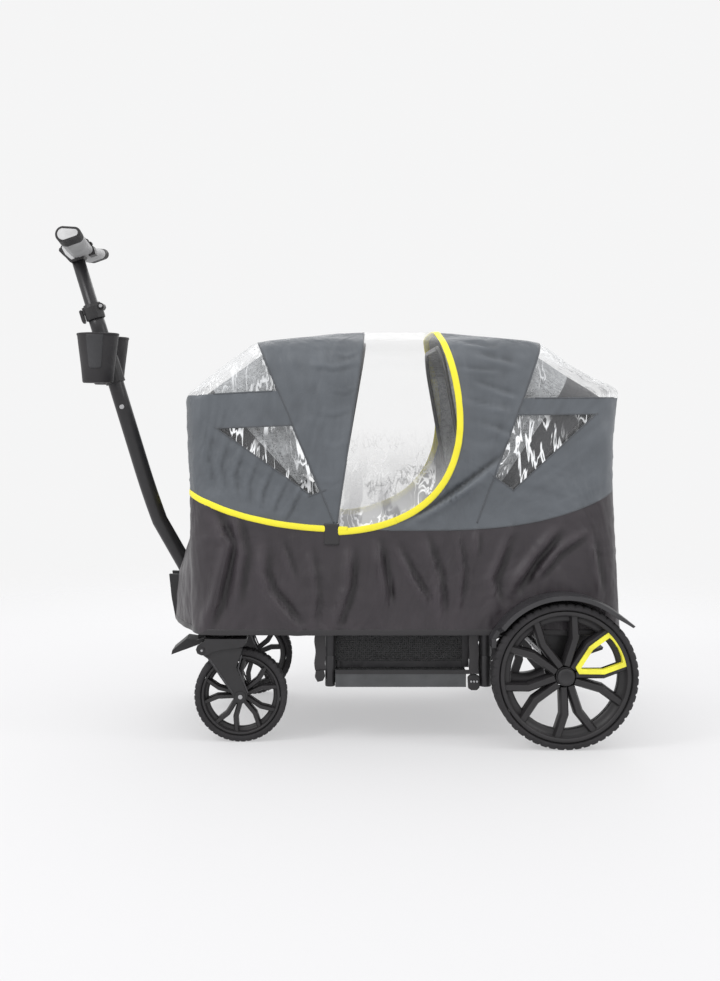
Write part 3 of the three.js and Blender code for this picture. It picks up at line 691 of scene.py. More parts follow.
def fold_height(fold, x, z):
    """A ridge beside a valley along the fold's line, fading out at both ends."""
    width, height, path = fold
    best = None
    for i, ((x0, z0), (x1, z1)) in enumerate(zip(path, path[1:])):
        run = (x1 - x0, z1 - z0)
        length = math.hypot(*run)
        share = max(0.0, min(1.0, ((x - x0) * run[0] + (z - z0) * run[1]) / length ** 2))
        away = (x - x0 - run[0] * share, z - z0 - run[1] * share)
        distance = math.hypot(*away)
        if best is None or distance < best[0]:
            side = 1 if run[0] * away[1] - run[1] * away[0] > 0 else -1
            best = (distance, side, (i + share) / (len(path) - 1))
    distance, side, along = best
    if distance > width * 3.5:
        return 0.0
    offset = side * distance / width
    taper = min(1.0, 3.5 * min(along, 1 - along) + 0.12) if 0 < along < 1 else 0.12
    return height * taper * (math.exp(-offset ** 2) - 0.75 * math.exp(-((offset - 1.25) / 0.9) ** 2))


FOLD_BOXES = [(min(x for x, _ in f[2]) - 3.5 * f[0], max(x for x, _ in f[2]) + 3.5 * f[0],
               min(z for _, z in f[2]) - 3.5 * f[0], max(z for _, z in f[2]) + 3.5 * f[0]) for f in FOLDS]


def fullness(x, y, z):
    """How far the cloth stands off its smooth shape, in millimetres: drape folds below, fan creases above."""
    side = 1 if y > 0 else -1
    flank = min(1.0, max(0.0, (abs(y) - 130) / 60))
    total = 0.0
    if flank > 0:
        for fold, (x0, x1, z0, z1) in zip(FOLDS, FOLD_BOXES):
            if x0 < x < x1 and z0 < z < z1:
                total += fold_height(fold, x, z) * flank
    low = max(0.0, min(1.0, (500 - z) / 200))
    drift = x + side * 37 + 0.22 * (z - 243)
    ends = drift + y * 1.1 * (1 - flank)
    total += low * 2.6 * ridged(Vector((ends / 80, side * 3.1, z / 300)))
    total += low * 1.5 * ridged(Vector((ends / 34 + 7, side * 5.3, z / 150)))
    pivot = FRONT_CANOPY if x < 10 else REAR_CANOPY
    dx, dz = x - pivot["x"], z - pivot["z"]
    reach = math.hypot(dx, dz)
    angle = math.atan2(dx, dz)
    fade = (1 - low) * min(1.0, reach / 160) * min(1.0, max(0.0, (905 - z) / 60) + 0.25)
    total += fade * 1.5 * ridged(Vector((angle * 9, reach / 260, side * 2.7)))
    total += fade * 1.0 * ridged(Vector((angle * 21 + 3, reach / 120, side * 1.7)), 1.3)
    return total + noise.noise(Vector((x / 26, y / 26, z / 26))) * 0.9


def cover_ring(half, front, rear, bow, level):
    """One ring of the cover as [x, y, z] points, counter-clockwise from the far rear corner."""
    corner = min(COVER_CORNER, half * 0.8)
    ring = []

    def turn(x, y, start):
        for i in range(12):
            t = start + (i / 12) * math.pi / 2
            ring.append((x + corner * math.cos(t), y + corner * math.sin(t), level))

    def run(a, b, count, bulge=0.0):
        for i in range(count):
            s = i / count
            belly = bulge * (1 - (2 * s - 1) ** 2)
            ring.append((a[0] + (b[0] - a[0]) * s - belly, a[1] + (b[1] - a[1]) * s, level))

    turn(rear - corner, half - corner, 0)
    run((rear - corner, half), (front + corner, half), 150)
    turn(front + corner, half - corner, math.pi / 2)
    run((front, half - corner), (front, corner - half), 56, bow)
    turn(front + corner, corner - half, math.pi)
    run((front + corner, -half), (rear - corner, -half), 150)
    turn(rear - corner, corner - half, math.pi * 1.5)
    run((rear, corner - half), (rear, half - corner), 56)
    return ring


def ring_at(z):
    half, front, rear, bow = (eased(t, z) for t in (COVER_HALF_Y, COVER_FRONT_X, COVER_REAR_X, COVER_BOW))
    return cover_ring(half, front, rear, bow, z)


def cover_rings():
    levels = [243 + 6.5 * i for i in range(80)] + [763 + 3.85 * i for i in range(41)]
    rings = [ring_at(z) for z in levels]
    half, front, rear = (eased(t, levels[-1]) for t in (COVER_HALF_Y, COVER_FRONT_X, COVER_REAR_X))
    for i in range(1, 17):
        s = 1 - i / 17
        rings.append(cover_ring(half * s, front * s, rear * s, 0, levels[-1] + 9 * (1 - s * s)))
    return rings


def cut_along(bm, value):
    """Adds edges where value(x, z) is zero, so that panels meet on a clean line."""
    signs = {v: value(*flat(v)) for v in bm.verts}
    fresh = set()
    for edge in bm.edges[:]:
        a, b = edge.verts
        fa, fb = signs[a], signs[b]
        if fa * fb < 0 and abs(fa) > 0.05 and abs(fb) > 0.05:
            _, vert = bmesh.utils.edge_split(edge, a, abs(fa) / (abs(fa) + abs(fb)))
            signs[vert] = 0.0
            fresh.add(vert)
    for face in bm.faces[:]:
        marked = [v for v in face.verts if v in fresh]
        if len(marked) == 2 and not bm.edges.get(marked):
            bmesh.utils.face_split(face, marked[0], marked[1])


def flat(vert):
    """A vertex's x and z in millimetres from the middle of the wheelbase."""
    return (vert.co.x - MID_X) / MM, vert.co.z / MM


def bisect(bm, point, normal):
    geometry = bm.verts[:] + bm.edges[:] + bm.faces[:]
    bmesh.ops.bisect_plane(bm, geom=geometry, plane_co=point, plane_no=normal, dist=1e-6)


def cover_surface():
    """The whole cover as one fine mesh, cut along every seam but not yet folded."""
    bm = bmesh.new()
    rings = [[bm.verts.new(at(*p)) for p in ring] for ring in cover_rings()]
    skin(bm, rings, first=False)
    bmesh.ops.recalc_face_normals(bm, faces=bm.faces[:])
    for a, b in ((FRONT_FAN(0) - 3, FRONT_FAN(1000) - 3), (CENTRE_FRONT(0), CENTRE_FRONT(1000)),
                 (REAR_FAN(0) + 3, REAR_FAN(1000) + 3)):
        bisect(bm, at(a, 0, 0), Vector((1000, 0, a - b)).normalized())
    for (x0, z0), (x1, z1) in FRONT_CUTS + REAR_CUTS:
        bisect(bm, at(x0, 0, z0), Vector((z0 - z1, 0, x1 - x0)).normalized())
    cut_along(bm, lambda x, z: z - waist(x))
    cut_along(bm, lambda x, z: x - loop_x(z) if z > 462 else 1)
    return bm


def open_handle_slot(bm):
    doomed = []
    for face in bm.faces:
        c = face.calc_center_median()
        if c.x < at(-430, 0, 0).x and abs(c.y) < 44 * MM and c.z < 404 * MM:
            doomed.append(face)
    bmesh.ops.delete(bm, geom=doomed, context="FACES")


def fold_cover(bm):
    bm.normal_update()
    layer = bm.verts.layers.float.new("relief")
    moves = []
    for v in bm.verts:
        x, z = flat(v)
        stand_off = fullness(x, v.co.y / MM, z)
        # Painted shade and highlight: the relief layer holds a colour factor from the fold height, below zero
        # (darker) in the fold valleys and above zero (lighter) on the ridges.
        v[layer] = max(-0.5, min(0.3, stand_off * (0.12 if stand_off < 0 else 0.045)))
        moves.append(v.normal * stand_off * MM)
    for v, move in zip(bm.verts, moves):
        v.co += move


PANELS = {
    "skirt": ("skirt", "skirt_fabric", "cover_skirt", (3.05, 0.34)),
    "front_hood": ("shell", "shell_fabric", "cover_hood_front", (1.55, 0.72)),
    "rear_hood": ("shell", "shell_fabric", "cover_hood_rear", (1.75, 0.66)),
    "centre_window": ("clear", "clear_vinyl", "cover_window_center", (1.34, 0.28)),
    "front_upper_window": ("slope", "clear_vinyl", "cover_window_front", (0.86, 0.30)),
    "front_lower_window": ("crinkled", "clear_vinyl", None, (0.26, 0.20)),
    "rear_upper_window": ("slope", "clear_vinyl", "cover_window_rear", (0.86, 0.28)),
    "rear_lower_window": ("crinkled", "clear_vinyl", None, (0.26, 0.20)),
}


def add_cover():
    """Splits the folded surface into its panels and returns a tree of it, for what is sewn on."""
    bm = cover_surface()
    open_handle_slot(bm)
    fold_cover(bm)
    tree = BVHTree.FromBMesh(bm)
    groups = {name: [] for name in PANELS}
    for face in bm.faces:
        c = face.calc_center_median()
        x = (c.x - MID_X) / MM
        groups[panel_of(x, c.z / MM)].append(face.index)
    source = bpy.data.meshes.new("cover_source")
    bm.to_mesh(source)
    bm.free()
    for name, (look, slot, stands_for, cut) in PANELS.items():
        part = bmesh.new()
        part.from_mesh(source)
        part.faces.ensure_lookup_table()
        keep = set(groups[name])
        bmesh.ops.delete(part, geom=[f for f in part.faces if f.index not in keep], context="FACES")
        area = sum(f.calc_area() for f in part.faces)
        mesh = bpy.data.meshes.new(name)
        part.to_mesh(mesh)
        part.free()
        piece = link_mesh(f"cover_{name}", mesh, look)
        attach(piece, "root")
        if stands_for:
            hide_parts(stands_for)
    bpy.data.meshes.remove(source)
    return tree


def ribbon(name, points, normals, width, look, half_height=2.6):
    """A sewn tape that wraps the cover along points, with a low rounded section on both faces."""
    bm = bmesh.new()
    section = []
    for i in range(12):
        t = 2 * math.pi * i / 12
        u = 0.5 * math.copysign(abs(math.cos(t)) ** 0.5, math.cos(t))
        v = math.copysign(abs(math.sin(t)) ** 0.8, math.sin(t))
        section.append((u, v))
    rings = []
    for i, (point, normal) in enumerate(zip(points, normals)):
        ahead = (points[min(i + 1, len(points) - 1)] - points[max(i - 1, 0)]).normalized()
        across = ahead.cross(normal).normalized()
        ring = [point + across * u * width * MM + normal * v * half_height * MM for u, v in section]
        rings.append([bm.verts.new(place) for place in ring])
    skin(bm, rings)
    piece = from_bmesh(name, bm, look)
    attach(piece, "root")
    return piece


def smoothed(values, rounds=3):
    for _ in range(rounds):
        inner = [(a + b * 2 + c) / 4 for a, b, c in zip(values, values[1:], values[2:])]
        values = [values[0], *inner, values[-1]]
    return values


def on_cover(tree, shots):
    """Where rays hit the cover from outside, as points and outward normals."""
    points, normals = [], []
    for origin, direction in shots:
        place, normal, _, _ = tree.ray_cast(origin, direction)
        if place is None:
            continue
        points.append(place)
        normals.append(normal if normal.dot(direction) < 0 else -normal)
    return smoothed(points, 2), [n.normalized() for n in smoothed(normals, 4)]


def side_shots(path, side):
    return [(at(x, side * 600, z), Vector((0, -side, 0))) for x, z in path]


def snapped(tree, guesses):
    """The nearest points on the folded cover, with their outward normals."""
    points, normals = [], []
    heart = at(0, 0, 560)
    for guess in guesses:
        place, normal, _, _ = tree.find_nearest(guess)
        points.append(place)
        normals.append(normal if normal.dot(place - heart) > 0 else -normal)
    return smoothed(points, 3), [n.normalized() for n in smoothed(normals, 6)]


def over_roof(path_at, low_z):
    """Points that follow a seam up one side, over the roof and down the other."""
    climb = [low_z + (COVER_TOP - low_z) * i / 90 for i in range(91)]
    near = [at(path_at(z), -eased(COVER_HALF_Y, z), z) for z in climb]
    far = [Vector((p.x, -p.y, p.z)) for p in near[::-1]]
    reach = eased(COVER_HALF_Y, COVER_TOP)
    x = path_at(COVER_TOP)
    roof = [at(x, reach * i / 24, COVER_TOP + 9 * (1 - (i / 24) ** 2)) for i in range(-23, 24)]
    return near + roof + far


def around_waist(first, end):
    """Points along the waist seam from x = first on the near side, round one end and back on the far side."""
    ring = ring_at(500)
    count = len(ring)
    chosen = []
    for i in range(count):
        if end * ring[i][0] >= end * first:
            chosen.append(i)
    breaks = [k for k in range(len(chosen)) if chosen[k] - chosen[k - 1] not in (1, 1 - count)]
    start = breaks[0] if breaks else 0
    points = []
    for i in chosen[start:] + chosen[:start]:
        level = waist(ring[i][0])
        x, y, _ = ring_at(level)[i]
        points.append(at(x, y, level))
    return points


def add_trim(tree):
    """The yellow binding, the seam tapes and the blank tab."""
    points, normals = snapped(tree, over_roof(loop_x, 486))
    ribbon("binding_over_roof", points, normals, 15, "binding")
    for side, s in SIDES:
        foot = [loop_curve(0.82 + 0.18 * i / 18) for i in range(19)]
        points, normals = on_cover(tree, side_shots(foot, s))
        ribbon(f"binding_foot_{side}", points, normals, 15, "binding")
    points, normals = snapped(tree, around_waist(-112, -1))
    ribbon("binding_front_waist", points, normals, 14, "binding")
    points, normals = snapped(tree, around_waist(-30, 1))
    ribbon("seam_rear_waist", points, normals, 3, "seam", 0.9)
    for name, path in (("front_fan", FRONT_FAN), ("centre_front", CENTRE_FRONT), ("rear_fan", REAR_FAN)):
        points, normals = snapped(tree, over_roof(path, 488))
        ribbon(f"seam_{name}", points, normals, 3.6, "seam", 1.0)
    for name, cuts in (("front", FRONT_CUTS), ("rear", REAR_CUTS)):
        for number, (a, b) in enumerate(cuts):
            for side, s in SIDES:
                path = [(a[0] + (b[0] - a[0]) * i / 30, a[1] + (b[1] - a[1]) * i / 30) for i in range(31)]
                points, normals = on_cover(tree, side_shots(path, s))
                seam = ribbon(f"seam_{name}_{number}_{side}", points, normals, 3.2, "seam", 0.9)
    hem = [at(x, y, 247) for x, y, _ in ring_at(247)]
    runs = [p for p in hem if p.x > at(-430, 0, 0).x or abs(p.y) > 46 * MM]
    start = max(range(1, len(runs)), key=lambda i: (runs[i] - runs[i - 1]).length)
    points, normals = snapped(tree, runs[start:] + runs[:start])
    ribbon("hem_tape", points, normals, 13, "strap", 1.3)
    path = [(-153, 486 - 46 * i / 12) for i in range(13)]
    points, normals = on_cover(tree, side_shots(path, -1))
    ribbon("blank_tab", points, normals, 34, "strap", 3.4)


# ---- canopies under the cover ----
def arch_point(share, half, reach, corner):
    straight, turn, across = reach - corner, corner * math.pi / 2, 2 * (half - corner)
    total = 2 * straight + 2 * turn + across
    run = share * total
    if run > total / 2:
        y, r = arch_point(1 - share, half, reach, corner)
        return -y, r
    if run <= straight:
        return -half, run
    if run <= straight + turn:
        angle = (run - straight) / corner
        return -half + corner * (1 - math.cos(angle)), straight + corner * math.sin(angle)
    return -half + corner + run - straight - turn, reach


def canopy_point(canopy, degrees, y, reach):
    turn = math.radians(degrees)
    return at(canopy["x"] + canopy["side"] * reach * math.sin(turn), y, canopy["z"] + reach * math.cos(turn))


def add_hoop(name, canopy, index, body):
    start = 60 if index == 0 else 0
    points = []
    for i in range(91):
        y, reach = arch_point(i / 90, HOOP_Y[index], HOOP_REACH, HOOP_CORNER)
        if reach >= start:
            points.append(canopy_point(canopy, canopy["angles"][index], y, reach))
    hoop = tube(f"{name}_tube", points, 5, "frame", 16)
    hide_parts(name)
    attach(hoop, body)


def add_canopy_cloth(name, canopy, first):
    """Cloth from one hoop to the next, sagging between them."""
    a0, a1 = canopy["angles"][first] - 0.8, canopy["angles"][first + 1] + 0.8
    rows, count = 16, 60
    bm = bmesh.new()
    grid = []
    for k in range(rows + 1):
        share = k / rows
        half = HOOP_Y[first] + (HOOP_Y[first + 1] - HOOP_Y[first]) * share
        sag = 9 * math.sin(math.pi * share)
        row = []
        for i in range(count + 1):
            y, reach = arch_point(0.1 + 0.8 * i / count, half + 2, HOOP_REACH + 3, HOOP_CORNER)
            pull = 1 - sag / max(reach, 1)
            crease = 1.2 * noise.noise(Vector((share * 3, i / 6, first + canopy["side"] * 4)))
            angle = a0 + (a1 - a0) * share
            row.append(bm.verts.new(canopy_point(canopy, angle, y * pull, reach * pull + crease)))
        grid.append(row)
    for a, b in zip(grid, grid[1:]):
        for i in range(count):
            bm.faces.new((a[i], a[i + 1], b[i + 1], b[i]))
    area = sum(f.calc_area() for f in bm.faces)
    hem_rows = 0 if first else canopy["hem"]
    for number, face in enumerate(bm.faces):
        face.material_index = 1 if number // count < hem_rows else 0
    cloth = from_bmesh(f"{name}_cloth", bm, "canopy")
    cloth.data.materials.append(LOOK["canopy_cloth"])
    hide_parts(name)
    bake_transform(cloth)


def add_canopies():
    for end, canopy in (("front", FRONT_CANOPY), ("rear", REAR_CANOPY)):
        mid, lead = f"{end}_canopy_mid", f"{end}_canopy_lead"
        add_hoop(f"{end}_canopy_base_hoop", canopy, 0, "root")
        add_hoop(f"{end}_canopy_mid_hoop", canopy, 1, mid)
        add_hoop(f"{end}_canopy_lead_hoop", canopy, 2, lead)
        add_canopy_cloth(f"{end}_canopy_back_fabric", canopy, 0)
        add_canopy_cloth(f"{end}_canopy_lead_fabric", canopy, 1)


# ---- wheels ----
def add_tyre(name, spec, side, body):
    """A tyre with blocks in two staggered rows and a smooth shoulder."""
    centre = at(spec["x"], side * spec["y"], spec["r"])
    half, top = spec["half"], spec["r"]
    bead = spec["bead"]
    profile = [(bead, -half * 0.82), (bead + 8, -half * 0.97), (top - 13, -half), (top - 7, -half * 0.99)]
    profile += [(top - 2.5, -half * 0.9)]
    profile += [(top, half * (-0.8 + 1.6 * i / 9)) for i in range(10)]
    profile += [(top - 2.5, half * 0.9), (top - 7, half * 0.99), (top - 13, half), (bead + 8, half * 0.97)]
    profile += [(bead, half * 0.82)]
    steps = spec["lugs"] * 8
    bm = bmesh.new()
    rows = []
    for i in range(steps):
        turn = 2 * math.pi * i / steps
        row = []
        for radius, along in profile:
            lug = (i / 8 + (0.5 if along > 0 else 0) + 0.25 * abs(along) / half) % 1
            groove = 1 if lug < 0.25 and radius > top - 9 else 0
            centre_cut = 1 if abs(along) < half * 0.1 and radius > top - 1 else 0
            r = radius - max(groove * spec["groove"] * (1 if radius > top - 4 else 0.7), centre_cut * 1.8)
            row.append(bm.verts.new(centre + Vector((r * math.cos(turn), along, r * math.sin(turn))) * MM))
        rows.append(row)
    for i in range(steps):
        a, b = rows[i], rows[(i + 1) % steps]
        for k in range(len(profile)):
            j = (k + 1) % len(profile)
            bm.faces.new((a[k], a[j], b[j], b[k]))
    tyre = from_bmesh(f"{name}_tread", bm, "tyre")
    tyre.modifiers.new("crisp", "WEIGHTED_NORMAL")
    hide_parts(name)
    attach(tyre, body)


def petal(spec, middle_turn, grow=0.0):
    """The outline of one petal opening in wheel coordinates, each edge moved out by grow millimetres."""
    corners = ((0.21, -14), (0.585, -23.5), (0.955, -17.5), (0.97, -9), (0.975, 0), (0.97, 9), (0.955, 17.5),
               (0.585, 23.5), (0.21, 14))
    points = [polar(spec, share, middle_turn + degrees) for share, degrees in corners]
    moved = []
    for before, here, after in zip(points[-1:] + points[:-1], points, points[1:] + points[:1]):
        a, b = (here - before).normalized(), (after - here).normalized()
        out_a, out_b = Vector((a.y, -a.x)), Vector((b.y, -b.x))
        corner = (out_a + out_b).normalized()
        moved.append(here + corner * grow / max(0.35, corner.dot(out_a)))
    return moved


def polar(spec, share, degrees):
    turn = math.radians(degrees)
    return Vector((math.cos(turn), math.sin(turn))) * spec["bead"] * share


def spoke_outline(spec, middle_turn, hand, width):
    root, knee, tip = (polar(spec, share, middle_turn + hand * degrees)
                       for share, degrees in ((0.16, 17), (0.585, 25), (0.97, 18)))

    def across(a, b):
        d = (b - a).normalized()
        return Vector((-d.y, d.x)) * width / 2

    points = (root, knee, tip)
    offsets = (across(root, knee), across(root, tip) * 1.05, across(knee, tip))
    left = [p + o for p, o in zip(points, offsets)]
    right = [p - o for p, o in zip(points, offsets)]
    return left + right[::-1]


def spoke(bm, spec, side, middle_turn, hand, width):
    """A bent spoke with sloping flanks and a narrow raised face."""
    half = spec["half"]
    centre = at(spec["x"], side * spec["y"], spec["r"])
    rings = []
    for y, share in ((-half * 0.3, 1.75), (half * 0.35, 1.6), (half * 0.72, 0.95)):
        outline = spoke_outline(spec, middle_turn, hand, width * share)
        rings.append([bm.verts.new(centre + Vector((p.x, side * y, p.y)) * MM) for p in outline])
    skin(bm, rings)


def add_rim(name, spec, side, body, hub_reach, spoke_width):
    """A deep rim ring with an inner step, ten bent spokes in five pairs and a round hub."""
    centre = at(spec["x"], side * spec["y"], spec["r"])
    half, bead = spec["half"], spec["bead"]
    bm = bmesh.new()
    inner = bead * 0.82
    profile = [(inner + 3, -half * 0.8), (bead - 0.4, -half * 0.84), (bead - 0.4, half * 0.88),
               (bead - 1.2, half * 0.93), (bead * 0.945, half * 0.93), (bead * 0.932, half * 0.86),
               (bead * 0.92, half * 0.32), (inner + 6, half * 0.26), (inner + 1, half * 0.2),
               (inner, half * 0.05), (inner + 3, -half * 0.8)]
    lathe(bm, profile, centre, "Y", 120)
    if side < 0:
        bmesh.ops.transform(bm, verts=bm.verts[:], space=Matrix.Identity(4),
                            matrix=Matrix.Translation(centre) @ Matrix.Scale(-1, 4, (0, 1, 0))
                            @ Matrix.Translation(-centre))
    ring = from_bmesh(f"{name}_ring", bm, "wheel")
    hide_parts(name)
    bm = bmesh.new()
    for index in range(5):
        for hand in (-1, 1):
            spoke(bm, spec, side, spec["turn"] + 72 * index, hand, spoke_width)
    spokes = soften(from_bmesh(f"{name}_spokes", bm, "wheel", False), 0.9)
    bm = bmesh.new()
    hub = spec["hub"]
    lathe(bm, [(6.6, -hub_reach), (hub, -hub_reach), (hub, hub_reach * 0.55), (hub * 0.92, hub_reach * 0.8),
               (hub * 0.8, hub_reach), (6.6, hub_reach), (6.6, -hub_reach)], centre, "Y", 64)
    hub_piece = soften(from_bmesh(f"{name}_hub", bm, "wheel"), 0.8)
    for piece in (ring, spokes, hub_piece):
        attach(piece, body)


def add_insert(side, s):
    """The yellow frame set into one petal of a rear wheel."""
    bm = bmesh.new()
    outer, inner = petal(REAR_WHEEL, 28, 1.0), petal(REAR_WHEEL, 28, -9.5)
    centre = at(REAR_WHEEL["x"], s * REAR_WHEEL["y"], REAR_WHEEL["r"])
    layers = []
    for y in (REAR_WHEEL["half"] * 0.3, REAR_WHEEL["half"] * 0.86):
        layers.append([[bm.verts.new(centre + Vector((p.x, s * y, p.y)) * MM) for p in ring]
                       for ring in (outer, inner)])
    count = len(outer)
    (o0, i0), (o1, i1) = layers
    for k in range(count):
        j = (k + 1) % count
        bm.faces.new((o0[k], o0[j], o1[j], o1[k]))
        bm.faces.new((i0[k], i1[k], i1[j], i0[j]))
        bm.faces.new((o1[k], o1[j], i1[j], i1[k]))
        bm.faces.new((o0[k], i0[k], i0[j], o0[j]))
    insert = soften(from_bmesh(f"wheel_insert_{side}", bm, "yellow", False), 1.0)
    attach(insert, f"rear_wheel_{side}")


def add_wheels():
    for side, s in SIDES:
        add_tyre(f"rear_tyre_{side}", REAR_WHEEL, s, f"rear_wheel_{side}")
        add_rim(f"rear_rim_{side}", REAR_WHEEL, s, f"rear_wheel_{side}", 17, 12)
        add_insert(side, s)
        add_tyre(f"front_tyre_{side}", FRONT_WHEEL, s, f"front_wheel_{side}")
        add_rim(f"front_rim_{side}", FRONT_WHEEL, s, f"front_wheel_{side}", 21, 7)
        bm = bmesh.new()
        centre = at(REAR_WHEEL["x"], s * REAR_WHEEL["y"], REAR_WHEEL["r"])
        profile = [(0, 8), (9.6, 8), (9.6, 20.5), (19, 20.5), (19, 24.5),
                   (17, 26.4), (12, 26.5), (11, 25.4), (0, 25.2)]
        lathe(bm, [(r, s * y) for r, y in profile], centre, "Y", 64)
        button = from_bmesh(f"hub_cap_{side}", bm, "plastic")
        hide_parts(f"release_button_{side}")
        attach(button, f"release_button_{side}")


def fender_ring(share):
    """The fender's angle and how far its tail has left the arc, at a share of its length."""
    turn = 154 + (37 - 154) * share
    leave = max(0.0, (52 - turn) / 15)
    return math.radians(turn), leave


def add_fenders():
    """A shell over the tyre with a raised outer lip, thin in front and lifted off the tyre at the tail."""
    for side, s in SIDES:
        bm = bmesh.new()
        rings = []
        steps = 72
        for i in range(steps + 1):
            turn, leave = fender_ring(i / steps)
            outer = 325 if turn < math.radians(143) else 325 - 27 * min(1.0, (math.degrees(turn) - 143) / 3)
            thin = 1 - 0.6 * leave
            section = [(171, 268), (174.5, 268), (178 - 2.5 * leave, 272), (178.6 - 2.5 * leave, outer - 26),
                       (178 - 2.5 * leave, outer - 5), (175.5 - leave, outer), (171.5 - 5 * thin, outer),
                       (171 - 5 * thin, outer - 2.6), (174, outer - 5), (174.2, outer - 26), (173.4, 273),
                       (171, 271.5)]
            ring = []
            for radius, y in section:
                r = radius + 1.5 + 9 * leave ** 1.6
                x = REAR_WHEEL["x"] + r * math.cos(turn)
                z = REAR_WHEEL["r"] + r * math.sin(turn)
                ring.append(bm.verts.new(at(x, s * y, z)))
            rings.append(ring)
        skin(bm, rings)
        near, far = (251, 300) if s > 0 else (-300, -251)
        slab(bm, [(196, 219), (206, 219), (206, 240), (196, 240)], near, far)
        fender = soften(from_bmesh(f"fender_{side}", bm, "fender"), 0.8, 2, 40)
        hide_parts(f"rear_fender_{side}")
        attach(fender, "root")


# ---- handle ----
def along_handle(x, y, z):
    """A point in the upright handle's own axes, leaned back to where the handle stands."""
    c, s = math.cos(HANDLE_LEAN), math.sin(HANDLE_LEAN)
    return at(BEND[0] + x * c - z * s, y, BEND[1] + x * s + z * c)


def handle_lathe(name, profile, look, steps=64):
    """Turns [radius, height] pairs about the handle's axis."""
    bm = bmesh.new()
    rows = []
    for i in range(steps):
        t = 2 * math.pi * i / steps
        rows.append([bm.verts.new(along_handle(r * math.cos(t), r * math.sin(t), z)) for r, z in profile])
    for i in range(steps):
        a, b = rows[i], rows[(i + 1) % steps]
        for k in range(len(profile) - 1):
            bm.faces.new((a[k], a[k + 1], b[k + 1], b[k]))
    bmesh.ops.remove_doubles(bm, verts=bm.verts[:], dist=1e-6)
    return from_bmesh(name, bm, look)


def add_lower_tube():
    foot, low = at(PIVOT[0], 0, PIVOT[1]), at(-568, 0, 472)
    high, top = along_handle(0, 0, 30), along_handle(0, 0, 421)
    knee = along_handle(0, 0, -44)
    points = [foot.lerp(low, i / 8) for i in range(8)]
    for i in range(17):
        t = i / 16
        points.append(low * (1 - t) ** 2 + knee * 2 * t * (1 - t) + high * t * t)
    points += [high.lerp(top, i / 10) for i in range(1, 11)]
    lower = tube("lower_handle_tube", points, 19, "frame", 40)
    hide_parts("handle_lower_tube")
    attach(lower, "handle_lower")
    bm = bmesh.new()
    bar(bm, foot + Vector((0, -0.024, 0)), foot + Vector((0, 0.024, 0)), 22, 40)
    eye = soften(from_bmesh("handle_foot_eye", bm, "plastic", False), 1.5)
    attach(eye, "handle_lower")


def teardrop(grow, steps=28):
    """The grip's section as [across, up] pairs: a large round end in front and a small one behind."""
    points = []
    tilt = math.radians(-9)
    for i in range(steps):
        t = 2 * math.pi * i / steps
        big, small = (-10, 18.5 + grow), (16, 13 + grow)
        lean = math.acos((big[1] - small[1]) / (small[0] - big[0]))
        middle_x, radius = small if abs((t + math.pi) % (2 * math.pi) - math.pi) < lean else big
        x, z = middle_x + radius * math.cos(t), radius * math.sin(t)
        points.append((x * math.cos(tilt) - z * math.sin(tilt), x * math.sin(tilt) + z * math.cos(tilt)))
    return points


def grip_piece(name, stations, look):
    """Part of the crossbar from [y, grow] stations; it dips a little towards its middle."""
    bm = bmesh.new()
    rings = []
    for y, grow in stations:
        dip = 1 - min(1.0, abs(y) / 175) ** 1.6
        rings.append([bm.verts.new(along_handle(GRIP[0] + x - 7 * dip, y, GRIP[1] + z - 14 * dip))
                      for x, z in teardrop(grow)])
    skin(bm, rings)
    piece = soften(from_bmesh(name, bm, look), 0.6, 2, 45)
    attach(piece, "handle_upper")
    return piece


def handle_plate(name, outline, half, look, round_by=2.0):
    """A plate across the handle from an outline in the handle's own axes."""
    bm = bmesh.new()
    rings = [[bm.verts.new(along_handle(x, y, z)) for x, z in outline] for y in (-half, half)]
    skin(bm, rings)
    piece = soften(from_bmesh(name, bm, look, False), round_by)
    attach(piece, "handle_upper")


